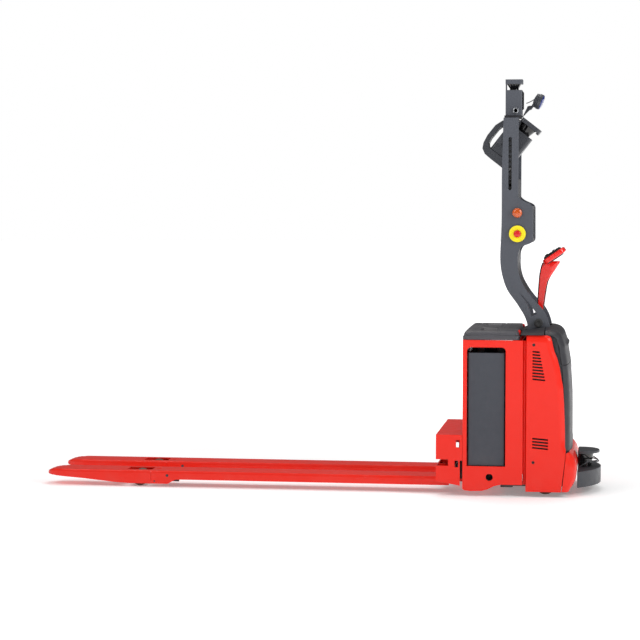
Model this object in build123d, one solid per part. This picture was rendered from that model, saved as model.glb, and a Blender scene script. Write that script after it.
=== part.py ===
from build123d import *

import math
import os

os.makedirs("parts", exist_ok=True)

# ---------------------------------------------------------------- driving sizes, in millimetres
# X runs from the rear face of the fork carriage towards the tiller, Y across, Z up from the floor.
CHASSIS_WIDTH = 720.0
FORK_LENGTH = 2040.0
FORK_WIDTH = 165.0
FORK_SPREAD = 540.0
FORK_TOP = 85.0
FORK_DEPTH = 45.0
SKID_DEPTH = 68.0
FORK_WALL = 6.0
LIFT = 125.0

CARRIAGE_LENGTH = 132.0
CARRIAGE_TOP = 307.0
BOX_LENGTH = 298.0
BOX_TOP = 782.0
BOX_BOTTOM = 61.0
SHEET = 6.0
LID_HEIGHT = 46.0
DRIVE_GAP = 15.0
COVER_LENGTH = 117.0
COVER_DEPTH = 40.0
COVER_WALL = 4.0
COVER_INSET = 10.0
NOSE_REACH = 816.0

MAST_WIDTH = 330.0
MAST_PLATE = 10.0
MAST_HEIGHT = 1108.0
MAST_CAP = 9.0

DRIVE_WHEEL_R = 110.0
DRIVE_WHEEL_WIDTH = 75.0
CASTER_R = 50.0
CASTER_WIDTH = 40.0
LOAD_ROLLER_R = 41.0
LOAD_ROLLER_WIDTH = 80.0

# ---------------------------------------------------------------- clearances
RUN = 0.05
GAP = 0.3
LIFT_GAP = 1.0

# ---------------------------------------------------------------- places that follow from the sizes
HALF = CHASSIS_WIDTH / 2
FACE_X = (FORK_LENGTH - NOSE_REACH) / 2
FORK_Y = (FORK_SPREAD - FORK_WIDTH) / 2
BOX_REAR = CARRIAGE_LENGTH + LIFT_GAP
BOX_FRONT = BOX_REAR + BOX_LENGTH
DRIVE_REAR = BOX_FRONT + DRIVE_GAP
COVER_TOP = BOX_TOP + 25.0
COVER_Y = HALF - COVER_INSET
DRIVE_X = DRIVE_REAR + 124.0
FOOT_Z = 203.0
PARTING_Z = 660.0
TILLER_X = DRIVE_REAR + 59.0
TILLER_WELL_R = 50.0
SIDES = {"left": -1, "right": 1}


def save(name, shape):
    """Moves a finished shape to the truck's origin and writes it."""
    export_step(Pos(FACE_X, 0, 0) * shape, f"parts/{name}.step")


def group(*shapes):
    """Puts the solids of several shapes in one node, still separate."""
    return Compound(children=[solid for shape in shapes for solid in shape.solids()])


def block(x0, x1, y0, y1, z0, z1):
    """Box between two corners."""
    return Pos((x0 + x1) / 2, (y0 + y1) / 2, (z0 + z1) / 2) * Box(x1 - x0, y1 - y0, z1 - z0)


def profile(points, y0, y1):
    """Prism of a closed X-Z outline between two Y planes."""
    wire = Polyline(*[(x, y0, z) for x, z in points], close=True)
    return extrude(make_face(wire), amount=y1 - y0, dir=(0, 1, 0))


def plan(points, z0, z1):
    """Prism of a closed X-Y outline between two heights."""
    wire = Polyline(*[(x, y, z0) for x, y in points], close=True)
    return extrude(make_face(wire), amount=z1 - z0, dir=(0, 0, 1))


def rod_y(x, z, r, y0, y1):
    """Cylinder along Y."""
    return Pos(x, (y0 + y1) / 2, z) * Rot(90, 0, 0) * Cylinder(r, y1 - y0)


def rod_z(x, y, r, z0, z1):
    """Cylinder along Z."""
    return Pos(x, y, (z0 + z1) / 2) * Cylinder(r, z1 - z0)


def rod_x(y, z, r, x0, x1):
    """Cylinder along X."""
    return Pos((x0 + x1) / 2, y, z) * Rot(0, 90, 0) * Cylinder(r, x1 - x0)


def smooth(points, y0, y1):
    """Prism whose outline is a list of runs; a run of more than two points is a smooth curve."""
    edges = []
    for run in points:
        path = [(x, y0, z) for x, z in run]
        edges.append(Line(*path) if len(path) == 2 else Spline(*path))
    return extrude(make_face(edges), amount=y1 - y0, dir=(0, 1, 0))


def mirrored(side, shape):
    """Puts a shape drawn on the near side (negative Y) on the side asked for."""
    return shape if side < 0 else mirror(shape, about=Plane.XZ)


# ================================================================ forks and their rollers
ROLLER_FROM_TIP = 491.0
ARM_LENGTH = 155.0
ARM_PIVOT_Z = 60.0
ARM_LUG = 30.0
ARM_PLATE = 8.0
ARM_EYE = 16.0
AXLE_R = 10.0
LUG_PIN_R = 5.0
ROD_BAR = 12.0
ROD_SLOT = 3.0
FORK_ROOT = 60.0
OPENING_LENGTH = 132.0
NOSE_LENGTH = 90.0
SKID_REAR = 265.0
SKID_RISE = 60.0

ROLLER_X = -FORK_LENGTH + ROLLER_FROM_TIP
ARM_DROP = ARM_PIVOT_Z - LOAD_ROLLER_R
ARM_PIVOT_X = ROLLER_X + math.sqrt(ARM_LENGTH**2 - ARM_DROP**2)
ARM_Y = LOAD_ROLLER_WIDTH / 2 + 1.5
FORK_BOTTOM = FORK_TOP - FORK_DEPTH
SKID_BOTTOM = FORK_TOP - SKID_DEPTH


def fork():
    """One fork: an inverted channel with a skid round the roller and a thin nose."""
    tip = -FORK_LENGTH
    skid_end = ROLLER_X + SKID_REAR - SKID_RISE
    side = [
        (FORK_ROOT, FORK_TOP),
        (tip + NOSE_LENGTH, FORK_TOP),
        (tip + 45, FORK_TOP - 5),
        (tip + 10, FORK_TOP - 14),
        (tip, FORK_TOP - 22),
        (tip + 8, FORK_TOP - 30),
        (tip + 77, FORK_TOP - 36),
        (tip + 211, FORK_TOP - 46),
        (tip + 370, FORK_TOP - 64),
        (tip + 450, SKID_BOTTOM),
        (skid_end, SKID_BOTTOM),
        (skid_end + SKID_RISE, FORK_BOTTOM),
        (FORK_ROOT, FORK_BOTTOM),
    ]
    half = FORK_WIDTH / 2
    body = profile(side, -half, half)
    nose = plan(
        [
            (FORK_ROOT, -half),
            (tip + NOSE_LENGTH, -half),
            (tip + 25, -half + 22),
            (tip, -half + 50),
            (tip, half - 50),
            (tip + 25, half - 22),
            (tip + NOSE_LENGTH, half),
            (FORK_ROOT, half),
        ],
        0,
        FORK_TOP,
    )
    body = body & nose
    top_edges = body.edges().filter_by(Axis.X).sort_by(Axis.Z)[-2:]
    body = fillet(top_edges, FORK_WALL)
    inner = half - FORK_WALL
    hollow = block(tip + 190, FORK_ROOT + 1, -inner, inner, -1, FORK_TOP - FORK_WALL)
    opening_y = LOAD_ROLLER_WIDTH / 2 + 8
    x0 = ROLLER_X - OPENING_LENGTH / 2
    corner = 10
    opening = block(x0, x0 + OPENING_LENGTH, -opening_y, opening_y, FORK_TOP - 20, FORK_TOP + 1)
    opening = fillet(opening.edges().filter_by(Axis.Z), corner)
    hook = rod_z(x0 + OPENING_LENGTH + 28, 0, 7, FORK_TOP - 20, FORK_TOP + 1)
    pivots = rod_y(ARM_PIVOT_X, ARM_PIVOT_Z, AXLE_R, -half - 1, half + 1)
    bolt = rod_y(ROLLER_X + 87, FORK_BOTTOM - 10, LUG_PIN_R, -half - 1, half + 1)
    lever_slot = block(ROCKER_X - 36, FORK_ROOT + 1, -LEVER_REACH - 2, LEVER_REACH + 2, FORK_TOP - 20, FORK_TOP + 1)
    step = block(-2, FORK_ROOT + 1, -half - 1, half + 1, FORK_TOP - 0.5, FORK_TOP + 1)
    body = body - hollow - opening - hook - pivots - bolt - lever_slot - step
    low = FORK_TOP - FORK_WALL
    far = FORK_ROOT + 1
    tip_end = tip + 190
    cuts = [tip_end, x0 + corner, x0 + OPENING_LENGTH - corner, ROCKER_X - 36, far]
    plates = [body & block(a, b, -half, half, low, FORK_TOP) for a, b in zip(cuts, cuts[1:])]
    plates += [
        body & block(tip_end, far, -half, -inner, 0, low),
        body & block(tip_end, far, inner, half, 0, low),
        body & block(tip - 1, tip_end, -half, half, 0, FORK_TOP),
    ]
    return group(*plates, fork_pins())


def fork_pins():
    """Two shoulder pins that carry the arm, and the two skid bolts below them."""
    half = FORK_WIDTH / 2
    inner = ARM_Y - 2
    shapes = []
    for s in (-1, 1):
        y0, y1 = sorted((s * inner, s * half))
        shapes.append(rod_y(ARM_PIVOT_X, ARM_PIVOT_Z, AXLE_R - RUN, y0, y1))
        b0, b1 = sorted((s * (half - FORK_WALL - 8), s * half))
        shapes.append(rod_y(ROLLER_X + 87, FORK_BOTTOM - 10, LUG_PIN_R - RUN, b0, b1))
    return group(*shapes)


def load_arm():
    """Two cheek plates joined by a tie tube, with the push-rod pin across them."""
    cheeks = []
    for s in (-1, 1):
        y0, y1 = sorted((s * ARM_Y, s * (ARM_Y + ARM_PLATE)))
        plate = profile(
            [
                (ROLLER_X, LOAD_ROLLER_R + ARM_EYE),
                (ROLLER_X, LOAD_ROLLER_R - ARM_EYE),
                (ARM_PIVOT_X - 8, ARM_PIVOT_Z - ARM_LUG - 4),
                (ARM_PIVOT_X + 9, ARM_PIVOT_Z - ARM_LUG),
                (ARM_PIVOT_X + ARM_EYE, ARM_PIVOT_Z),
                (ARM_PIVOT_X, ARM_PIVOT_Z + ARM_EYE),
            ],
            y0,
            y1,
        )
        plate += rod_y(ROLLER_X, LOAD_ROLLER_R, ARM_EYE, y0, y1)
        plate += rod_y(ARM_PIVOT_X, ARM_PIVOT_Z, ARM_EYE, y0, y1)
        plate += rod_y(ARM_PIVOT_X, ARM_PIVOT_Z - ARM_LUG, LUG_PIN_R + 4, y0, y1)
        cheeks.append(plate)
    arm = cheeks[0] + cheeks[1]
    arm += rod_y(ARM_PIVOT_X - 62, ARM_PIVOT_Z - 10, 10, -ARM_Y, ARM_Y)
    arm += rod_y(ARM_PIVOT_X, ARM_PIVOT_Z - ARM_LUG, LUG_PIN_R, -ARM_Y, ARM_Y)
    for x, z in ((ROLLER_X, LOAD_ROLLER_R), (ARM_PIVOT_X, ARM_PIVOT_Z)):
        arm -= rod_y(x, z, AXLE_R + RUN, -ARM_Y - 20, ARM_Y + 20)
    reach = ARM_Y + ARM_PLATE
    axle = rod_y(ROLLER_X, LOAD_ROLLER_R, AXLE_R, -reach, reach)
    return group(arm, axle)


def load_roller():
    """Load roller with crowned edges and a bore for its axle."""
    half = LOAD_ROLLER_WIDTH / 2
    roller = rod_y(ROLLER_X, LOAD_ROLLER_R, LOAD_ROLLER_R, -half, half)
    roller = chamfer(roller.edges(), 3)
    return roller - rod_y(ROLLER_X, LOAD_ROLLER_R, AXLE_R + RUN, -half - 1, half + 1)


LEVER_REACH = ROD_BAR / 2 + 9.0
ROCKER_X = 58.0
ROCKER_Z = 118.0
ROCKER_ARM = 66.0
ROCKER_R = 18.0
ROD_Z = ROCKER_Z - ROCKER_ARM
ARM_SWING = math.asin((ARM_DROP + LIFT) / ARM_LENGTH) - math.asin(ARM_DROP / ARM_LENGTH)
ROD_TRAVEL = ARM_LUG * math.sin(ARM_SWING)
ROCKER_SWING = math.asin(ROD_TRAVEL / ROCKER_ARM)


def push_rod():
    """Flat bar from the rocker to the load arm, with a long eye at each end."""
    half = ROD_BAR / 2
    x0 = ARM_PIVOT_X - 14
    z_low = ARM_PIVOT_Z - ARM_LUG
    rise = ARM_LUG * (1 - math.cos(ARM_SWING)) + ROD_SLOT
    rock = ROCKER_ARM * (1 - math.cos(ROCKER_SWING)) + ROD_SLOT
    tail = block(x0, x0 + 60, -half, half, z_low - 10, ROD_Z + 7)
    bar = block(x0 + 20, ROCKER_X + 14, -half, half, ROD_Z - 7, ROD_Z + 7)
    head = block(ROCKER_X - 14, ROCKER_X + 14, -half, half, ROD_Z - 14, ROD_Z + 20)
    reach = LUG_PIN_R + ROD_SLOT
    top = z_low + rise + LUG_PIN_R
    slot = block(ARM_PIVOT_X - reach, ARM_PIVOT_X + reach, -20, 20, z_low - reach, top)
    rear = block(ROCKER_X - reach, ROCKER_X + reach, -20, 20, ROD_Z - reach, ROD_Z + rock + LUG_PIN_R)
    return tail + bar + head - slot - rear


def rocker_shaft():
    """Tube across the carriage with a lever pair over each push rod."""
    reach = FORK_Y + 60
    shaft = rod_y(ROCKER_X, ROCKER_Z, ROCKER_R, -reach, reach)
    for s in (-1, 1):
        centre = s * FORK_Y
        for t in (-1, 1):
            y0, y1 = sorted((centre + t * (ROD_BAR / 2 + GAP), centre + t * LEVER_REACH))
            shaft += profile(
                [
                    (ROCKER_X - 15, ROCKER_Z),
                    (ROCKER_X - 8, ROD_Z - 6),
                    (ROCKER_X + 8, ROD_Z - 6),
                    (ROCKER_X + 15, ROCKER_Z),
                ],
                y0,
                y1,
            )
        shaft += rod_y(ROCKER_X, ROD_Z, LUG_PIN_R, centre - LEVER_REACH, centre + LEVER_REACH)
    return shaft


# ================================================================ carriage, battery box and lid
NOTCH_LOW = 151.0
NOTCH_HIGH = 183.0
NOTCH_DEPTH = 61.0
CARRIAGE_BOTTOM_REAR = 73.0
CARRIAGE_BOTTOM_FRONT = 52.0
END_PLATE = 10.0
CARRIAGE_SLOTS = ((101, 119, 244, 281), (94, 112, 144, NOTCH_HIGH - 5))
LUG_Y = 300.0
LUG_LOW = 205.0
LUG_HIGH = 290.0


def fork_carriage():
    """Welded cross member: end plates, apron, lower beam, top and front plates, and guide lugs."""
    outline = [
        (0, CARRIAGE_TOP),
        (0, NOTCH_HIGH),
        (NOTCH_DEPTH, NOTCH_HIGH),
        (NOTCH_DEPTH, NOTCH_LOW),
        (0, NOTCH_LOW),
        (0, CARRIAGE_BOTTOM_REAR),
        (CARRIAGE_LENGTH - 12, CARRIAGE_BOTTOM_FRONT),
        (CARRIAGE_LENGTH - 12, NOTCH_HIGH - 5),
        (CARRIAGE_LENGTH, NOTCH_HIGH - 5),
        (CARRIAGE_LENGTH, CARRIAGE_TOP),
    ]
    body = profile(outline, -HALF, -HALF + END_PLATE) + profile(outline, HALF - END_PLATE, HALF)
    wall = SHEET + 2
    body += block(0, CARRIAGE_LENGTH, -HALF, HALF, CARRIAGE_TOP - wall, CARRIAGE_TOP)
    body += block(0, wall, -HALF, HALF, NOTCH_HIGH, CARRIAGE_TOP)
    body += block(0, wall, -HALF, HALF, FORK_TOP, NOTCH_LOW)
    body += block(CARRIAGE_LENGTH - wall, CARRIAGE_LENGTH, -HALF, HALF, NOTCH_HIGH - 5, CARRIAGE_TOP)
    for s in (-1, 1):
        for edge in (-1, 1):
            y = s * FORK_Y + edge * (FORK_WIDTH / 2 - 4)
            body += block(0, ROCKER_X - ROCKER_R - 2, y - 4, y + 4, FORK_TOP, NOTCH_LOW)
        y0, y1 = sorted((s * (FORK_Y + 40), s * (FORK_Y + 50)))
        front = ROCKER_X + ROCKER_R + 8
        body += block(wall, front, y0, y1, ROCKER_Z - ROCKER_R - 8, ROCKER_Z + ROCKER_R + 8)
        body += block(BOX_REAR - 1, BOX_REAR + SHEET + 8, s * LUG_Y - 5, s * LUG_Y + 5, LUG_LOW, LUG_HIGH)
        head_x = BOX_REAR + SHEET + GAP
        body += block(head_x, head_x + 8, s * LUG_Y - 16, s * LUG_Y + 16, LUG_LOW, LUG_HIGH)
    for x0, x1, z0, z1 in CARRIAGE_SLOTS:
        body -= block(x0, x1, -HALF - 1, HALF + 1, z0, z1)
    return body - rod_y(ROCKER_X, ROCKER_Z, ROCKER_R + RUN, -HALF + 60, HALF - 60)


WINDOW_REAR = 154.0
WINDOW_FRONT = 346.0
WINDOW_LOW = 152.0
WINDOW_TOP = 746.0
WINDOW_CORNER = 20.0
BATTERY_TOP = 718.0
BATTERY_GAP = 5.0
SIDE_HOLE_X = 267.0
SIDE_HOLE_Z = 97.0
SIDE_HOLE_R = 17.5
SKIRT_BOTTOM = 26.0
SHELF_Z = WINDOW_LOW - 40
FOOT_Y = 95.0
FOOT_LOW = 36.0
FOOT_HIGH = 50.0
CYLINDER_X = CARRIAGE_LENGTH - 24.0
CYLINDER_Y = 66.0
BED_ROLLER_R = 13.0
BATTERY_LOW = WINDOW_LOW + 1.0


def battery_box():
    """Open-topped sheet box with a tall window, a round hole and a lowered skirt on each side."""
    z = BOX_BOTTOM
    skirt = [
        (BOX_REAR, BOX_TOP),
        (BOX_REAR, 36),
        (BOX_REAR + 12, 29),
        (BOX_REAR + 40, SKIRT_BOTTOM),
        (BOX_REAR + 95, SKIRT_BOTTOM + 2),
        (BOX_REAR + 125, SKIRT_BOTTOM + 10),
        (BOX_REAR + 158, z - 8),
        (BOX_REAR + 190, z),
        (BOX_FRONT, z),
        (BOX_FRONT, BOX_TOP),
    ]
    side = profile(skirt, 0, SHEET)
    reach = HALF - SHEET
    rear_low = FORK_TOP + LIFT
    rear_face = BOX_REAR + SHEET
    rear = block(BOX_REAR, rear_face, -reach, reach, rear_low, BOX_TOP)
    front = block(BOX_FRONT - SHEET, BOX_FRONT, -reach, reach, SHELF_Z + SHEET, BOX_TOP)
    shelf_plate = block(rear_face, BOX_FRONT, -reach, reach, SHELF_Z, SHELF_Z + SHEET)
    foot_wall = block(BOX_REAR, rear_face, -FOOT_Y, FOOT_Y, FOOT_LOW, rear_low)
    foot = block(CYLINDER_X - 22, BOX_REAR, -FOOT_Y, FOOT_Y, FOOT_LOW, FOOT_HIGH)
    window = block(WINDOW_REAR, WINDOW_FRONT, -HALF - 1, HALF + 1, WINDOW_LOW, WINDOW_TOP)
    window = fillet(window.edges().filter_by(Axis.Y).sort_by(Axis.Z)[-2:], WINDOW_CORNER)
    side = side - window - rod_y(SIDE_HOLE_X, SIDE_HOLE_Z, SIDE_HOLE_R, -HALF - 1, HALF + 1)
    for s in (-1, 1):
        y = s * LUG_Y
        slot_y = 5 + GAP
        slot_top = LUG_HIGH + LIFT + 6
        rear -= block(BOX_REAR - 1, rear_face + 1, y - slot_y, y + slot_y, LUG_LOW - 4, slot_top)
    sides = group(Pos(0, -HALF, 0) * side, Pos(0, HALF - SHEET, 0) * side)
    return group(sides, rear, front, shelf_plate, foot_wall, foot)


def battery_rollers():
    """Roller bed that the battery stands on, each roller in a pair of rails."""
    low = SHELF_Z + SHEET
    reach = HALF - SHEET - 8
    z = BATTERY_LOW - GAP - BED_ROLLER_R
    bed = block(WINDOW_REAR + 6, WINDOW_REAR + 14, -reach, reach, low, WINDOW_LOW - 8)
    bed += block(WINDOW_FRONT - 14, WINDOW_FRONT - 6, -reach, reach, low, WINDOW_LOW - 8)
    count = 9
    for i in range(count):
        y = -reach + 25 + i * (2 * reach - 50) / (count - 1)
        bed += rod_x(y, z, BED_ROLLER_R, WINDOW_REAR + 10, WINDOW_FRONT - 10)
    return bed


def battery_pack():
    """Steel battery case with a lifting rim."""
    x0, x1 = WINDOW_REAR + BATTERY_GAP, WINDOW_FRONT - BATTERY_GAP
    reach = HALF - SHEET - 6
    case = block(x0, x1, -reach, reach, BATTERY_LOW, BATTERY_TOP)
    case = fillet(case.edges().filter_by(Axis.Z), 6)
    well = block(x0 + 8, x1 - 8, -reach + 8, reach - 8, BATTERY_TOP - 22, BATTERY_TOP + 1)
    return group(case - well, battery_connector())


def battery_connector():
    """Plug block and its bracket on the battery's top."""
    x = (WINDOW_REAR + WINDOW_FRONT) / 2
    low = BATTERY_TOP - 22
    plug = block(x - 30, x + 30, -40, 40, low, low + 38)
    grip = block(x - 22, x + 22, -10, 10, low + 38, low + 48)
    return plug + grip


LID_RIM = 24.0
LID_SKIN = 8.0
LID_FRONT = BOX_FRONT - 19.0
LID_PIN_R = 3.5
LID_PIN_X = LID_FRONT - 7.0
LID_PIN_Z = BOX_TOP + LID_HEIGHT - 9.0
LID_EAR = 9.0
LID_EAR_SPREAD = 56.0
LID_EAR_Y = 212.0


def lid_outline():
    """Side outline of the battery lid."""
    z = BOX_TOP
    return [
        (BOX_REAR, z + GAP),
        (BOX_REAR, z + LID_RIM),
        (BOX_REAR + 6, z + LID_RIM + 3),
        (BOX_REAR + 16, z + LID_HEIGHT - 6),
        (BOX_REAR + 40, z + LID_HEIGHT),
        (LID_FRONT - 4, z + LID_HEIGHT),
        (LID_FRONT, z + LID_HEIGHT - 5),
        (LID_FRONT, z + 3),
        (LID_FRONT - 14, z + GAP),
    ]


def ear_places():
    """Y span of each hinge ear."""
    starts = []
    for s in (-1, 1):
        for shift in (0, LID_EAR_SPREAD):
            starts.append(s * (LID_EAR_Y + shift) - LID_EAR / 2)
    return [(y, y + LID_EAR) for y in starts]


def battery_lid():
    """Moulded lid: closed shell with the underside scooped out."""
    reach = HALF - 4
    body = profile(lid_outline(), -reach, reach)
    body -= block(BOX_REAR + 24, LID_FRONT - 5, -reach + 8, reach - 8, BOX_TOP, BOX_TOP + LID_HEIGHT - LID_SKIN)
    for y0, y1 in ear_places():
        body -= block(LID_PIN_X - 12, LID_FRONT + 1, y0 - 2, y1 + 2, BOX_TOP, BOX_TOP + LID_HEIGHT + 1)
    return body - rod_y(LID_PIN_X, LID_PIN_Z, LID_PIN_R + RUN, -300, 300)


def lid_hinges():
    """Hinge pins with the ears that hold them to the battery box's front wall."""
    x = BOX_FRONT - SHEET
    shapes = []
    for s in (-1, 1):
        reach = sorted((s * (LID_EAR_Y - LID_EAR / 2), s * (LID_EAR_Y + LID_EAR_SPREAD + LID_EAR / 2)))
        pin = rod_y(LID_PIN_X, LID_PIN_Z, LID_PIN_R, *reach)
        shapes.append(pin)
    for y0, y1 in ear_places():
        ear = profile(
            [
                (x, BOX_TOP - 30),
                (x, BOX_TOP),
                (LID_FRONT + 1, BOX_TOP + 8),
                (LID_FRONT + 1, LID_PIN_Z),
                (LID_PIN_X - 7, LID_PIN_Z),
                (LID_PIN_X - 7, BOX_TOP),
            ],
            y0,
            y1,
        )
        shapes.append(ear + rod_y(LID_PIN_X, LID_PIN_Z, 7, y0, y1))
    hinge = shapes[0] + shapes[2] + shapes[3]
    other = shapes[1] + shapes[4] + shapes[5]
    return group(hinge, other)


# ================================================================ drive unit covers
FLARE_Z = 255.0
COVER_BEVEL = 9.0
SEAM = 0.8
SEAM_TOP = (DRIVE_REAR + 198, 219)
SEAM_LOW = (DRIVE_REAR + 176, SKIRT_BOTTOM)
BUMPER_FRONT = DRIVE_REAR + 254


def cover_outline(shrink=0.0):
    """Side outline of the red cover, moved inwards by a wall thickness when asked."""
    t = shrink
    x = DRIVE_REAR
    z = COVER_TOP
    return [
        (x + t, SKIRT_BOTTOM + 2 + t),
        (SEAM_LOW[0] - t, SKIRT_BOTTOM + t),
        (SEAM_TOP[0] - t, SEAM_TOP[1]),
        (x + 194 - t, FLARE_Z),
        (x + 191 - t, 413),
        (x + 184 - t, 540),
        (x + 176 - t, 587),
        (x + 169 - t, 629),
        (x + 156 - t, 685),
        (x + 137 - t, z - 71),
        (x + 125 - t, z - 19 - t / 2),
        (x + COVER_LENGTH - t, z - 4 - t),
        (x + COVER_LENGTH - 12 - t, z - t),
        (x + t, z - t),
    ]


def louvres():
    """Slots of both vents, sloping down towards the front."""
    slots = []
    rows = 10
    for i in range(rows):
        z = COVER_TOP - 84 - i * 15.2
        length = 35 + 28 * i / (rows - 1)
        slots.append(Pos(DRIVE_REAR + 32 + length / 2, -COVER_Y, z - length * 0.044) * Rot(0, 5, 0)
                     * Box(length, 30, 8))
    for i in range(4):
        slots.append(Pos(DRIVE_REAR + 72, -COVER_Y, 293 - i * 16.2) * Rot(0, 6, 0) * Box(78, 30, 9))
    return slots


def bevelled(body):
    """Cover body with its top and front edges bevelled on the outer side."""
    rim = body.faces().sort_by(Axis.Y)[0].edges()
    edges = [e for e in rim if e.center().Z > FLARE_Z + 100 and e.center().X > DRIVE_REAR + COVER_WALL + 1]
    return chamfer(edges, COVER_BEVEL)


def side_cover(side):
    """Hollow pressed cover with a bevelled outer edge, louvres and two fixing holes."""
    outer = bevelled(profile(cover_outline(), -COVER_Y, -COVER_Y + COVER_DEPTH))
    inner = bevelled(profile(cover_outline(COVER_WALL), -COVER_Y + COVER_WALL, -COVER_Y + COVER_DEPTH + 1))
    body = outer - inner
    for slot in louvres():
        body -= slot
    for z in (COVER_TOP - 47, 174):
        body -= rod_y(DRIVE_REAR + 38, z, 8, -COVER_Y - 1, -COVER_Y + 20)
    return mirrored(side, body)


def bumper_plan(inset):
    """Plan of the red bumper's outer skin moved inwards."""
    x = BUMPER_FRONT - inset
    y = COVER_Y - inset
    r = 60
    return [
        (DRIVE_REAR + 150, -y),
        (x - 50, -y),
        (x - 18, -y + 22),
        (x, -y + r),
        (x, y - r),
        (x - 18, y - 22),
        (x - 50, y),
        (DRIVE_REAR + 150, y),
    ]


BUMPER_ROOF_BACK = 216.0
BUMPER_CORNER_Y = 270.0


def lower_bumper():
    """Red bumper across the front: a U in plan with a roof, cut along the seams to the side covers."""
    x = DRIVE_REAR
    wall = 6.0
    body = plan(bumper_plan(0), SKIRT_BOTTOM, 255) - plan(bumper_plan(wall), SKIRT_BOTTOM - 1, 256)
    roof = plan(bumper_plan(wall), FOOT_Z - wall, FOOT_Z) - block(x, x + BUMPER_ROOF_BACK, -HALF, HALF, 0, 300)
    keep = profile(
        [
            (SEAM_LOW[0] + SEAM, SKIRT_BOTTOM),
            (x + 206, SKIRT_BOTTOM + 4),
            (x + 231, 53),
            (x + 246, 84),
            (x + 251, 110),
            (BUMPER_FRONT, 149),
            (x + 250, 175),
            (x + 236, 204),
            (x + 217, 224),
            (SEAM_TOP[0] + SEAM, SEAM_TOP[1] + 2),
        ],
        -HALF,
        HALF,
    )
    cuts = [-HALF, -BUMPER_CORNER_Y, -BUMPER_CORNER_Y / 3, BUMPER_CORNER_Y / 3, BUMPER_CORNER_Y, HALF]
    walls = [body & keep & block(x, x + 300, y0, y1, 0, 300) for y0, y1 in zip(cuts, cuts[1:])]
    return group(*walls, roof & keep)


def front_outline():
    """Side outline of the dark front cover, from its foot to its top and down its back."""
    x = DRIVE_REAR
    z = COVER_TOP
    return [
        (x + 196, FOOT_Z + GAP),
        (x + 227, FOOT_Z + GAP),
        (x + 227, 278),
        (x + 226, 461),
        (x + 220, 572),
        (x + 216, 650),
        (x + 208, 693),
        (x + 205, z - 66),
        (x + 198, z - 48),
        (x + 189, z - 22),
        (x + 180, z + 3),
        (x + 160, z + 21),
        (x + 123, z + 34),
        (x + 90, z + 36),
        (x + 90, z - 8),
        (x + 116, z - 12),
        (x + 146, 685),
        (x + 159, 629),
        (x + 174, 540),
        (x + 180, 413),
        (x + 184, 300),
    ]


def front_cover(low, high):
    """Dark moulding between the side covers, hollow towards the machine."""
    reach = COVER_Y - COVER_DEPTH - GAP
    solid = profile(front_outline(), -reach, reach)
    hollow = Pos(-5, 0, -5) * profile(front_outline(), -reach + 6, reach - 6)
    hollow += block(DRIVE_REAR, DRIVE_REAR + 170, -reach + 6, reach - 6, 200, COVER_TOP - 20)
    shell = solid - hollow
    for s in (-1, 1):
        y0, y1 = sorted((s * (MAST_WIDTH / 2 - MAST_PLATE - 5), s * (MAST_WIDTH / 2 + 5)))
        shell -= block(DRIVE_REAR + 80, DRIVE_REAR + 134, y0, y1, BOX_TOP - 40, COVER_TOP + 60)
    shell -= rod_z(TILLER_X, 0, TILLER_WELL_R, BOX_TOP - 40, COVER_TOP + 60)
    keep = block(DRIVE_REAR, DRIVE_REAR + 300, -HALF, HALF, low, high)
    parts = (shell & keep).solids().sort_by(SortBy.VOLUME)
    return parts[-1]


def console_cover():
    """Grey top panel behind the front cover, with slots for the mast feet and the tiller."""
    reach = COVER_Y - 4
    x0, x1 = LID_FRONT + 6, DRIVE_REAR + 86
    z = COVER_TOP
    outline = [
        (x0, z - 14),
        (x0, z + 18),
        (x0 + 10, z + 22),
        (DRIVE_REAR + 20, z + 30),
        (x1, z + 36),
        (x1, z + 30),
        (DRIVE_REAR + 20, z + 24),
        (x0 + 5, z + 14),
        (x0 + 5, z - 14),
    ]
    body = profile(outline, -reach, reach)
    for s in (-1, 1):
        y0, y1 = sorted((s * (MAST_WIDTH / 2 - MAST_PLATE - 4), s * (MAST_WIDTH / 2 + MAST_CAP + GAP)))
        body -= block(x0 + 6, x1 + 1, y0, y1, z - 20, z + 60)
        y2, y3 = sorted((s * (COVER_Y - COVER_DEPTH), s * (reach + 1)))
        body -= block(DRIVE_REAR - 2, x1 + 1, y2, y3, z - 30, z + GAP)
    body -= block(x0 + 20, x1 + 1, -TILLER_WELL_R, TILLER_WELL_R, z - 20, z + 60)
    return body


# ================================================================ drive frame, steering and wheels
BULKHEAD = 8.0
BULKHEAD_X = DRIVE_REAR + COVER_WALL
FRAME_FRONT = BULKHEAD_X + BULKHEAD
BULKHEAD_LOW = 236.0
DECK_Z = 300.0
DECK_PLATE = 12.0
FRAME_Y = 298.0
CHEEK = 8.0
CASTER_Y = 222.0
CASTER_TRAIL = 28.0
CASTER_TOP = 150.0
STEM_R = 12.0
BEAM_Z = BOX_TOP - 84.0
TILLER_PIVOT_Z = BOX_TOP + 83.0
TILLER_STEM_R = 15.0
SLEW_R = 72.0
NECK_R = 50.0
CYLINDER_R = 15.0
CYLINDER_BORE = 12.0
CYLINDER_ROD_R = 9.0
CYLINDER_TOP = 215.0
RAIL_LOW = 48.0
RAIL_REAR = BOX_REAR + 190.0


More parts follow.
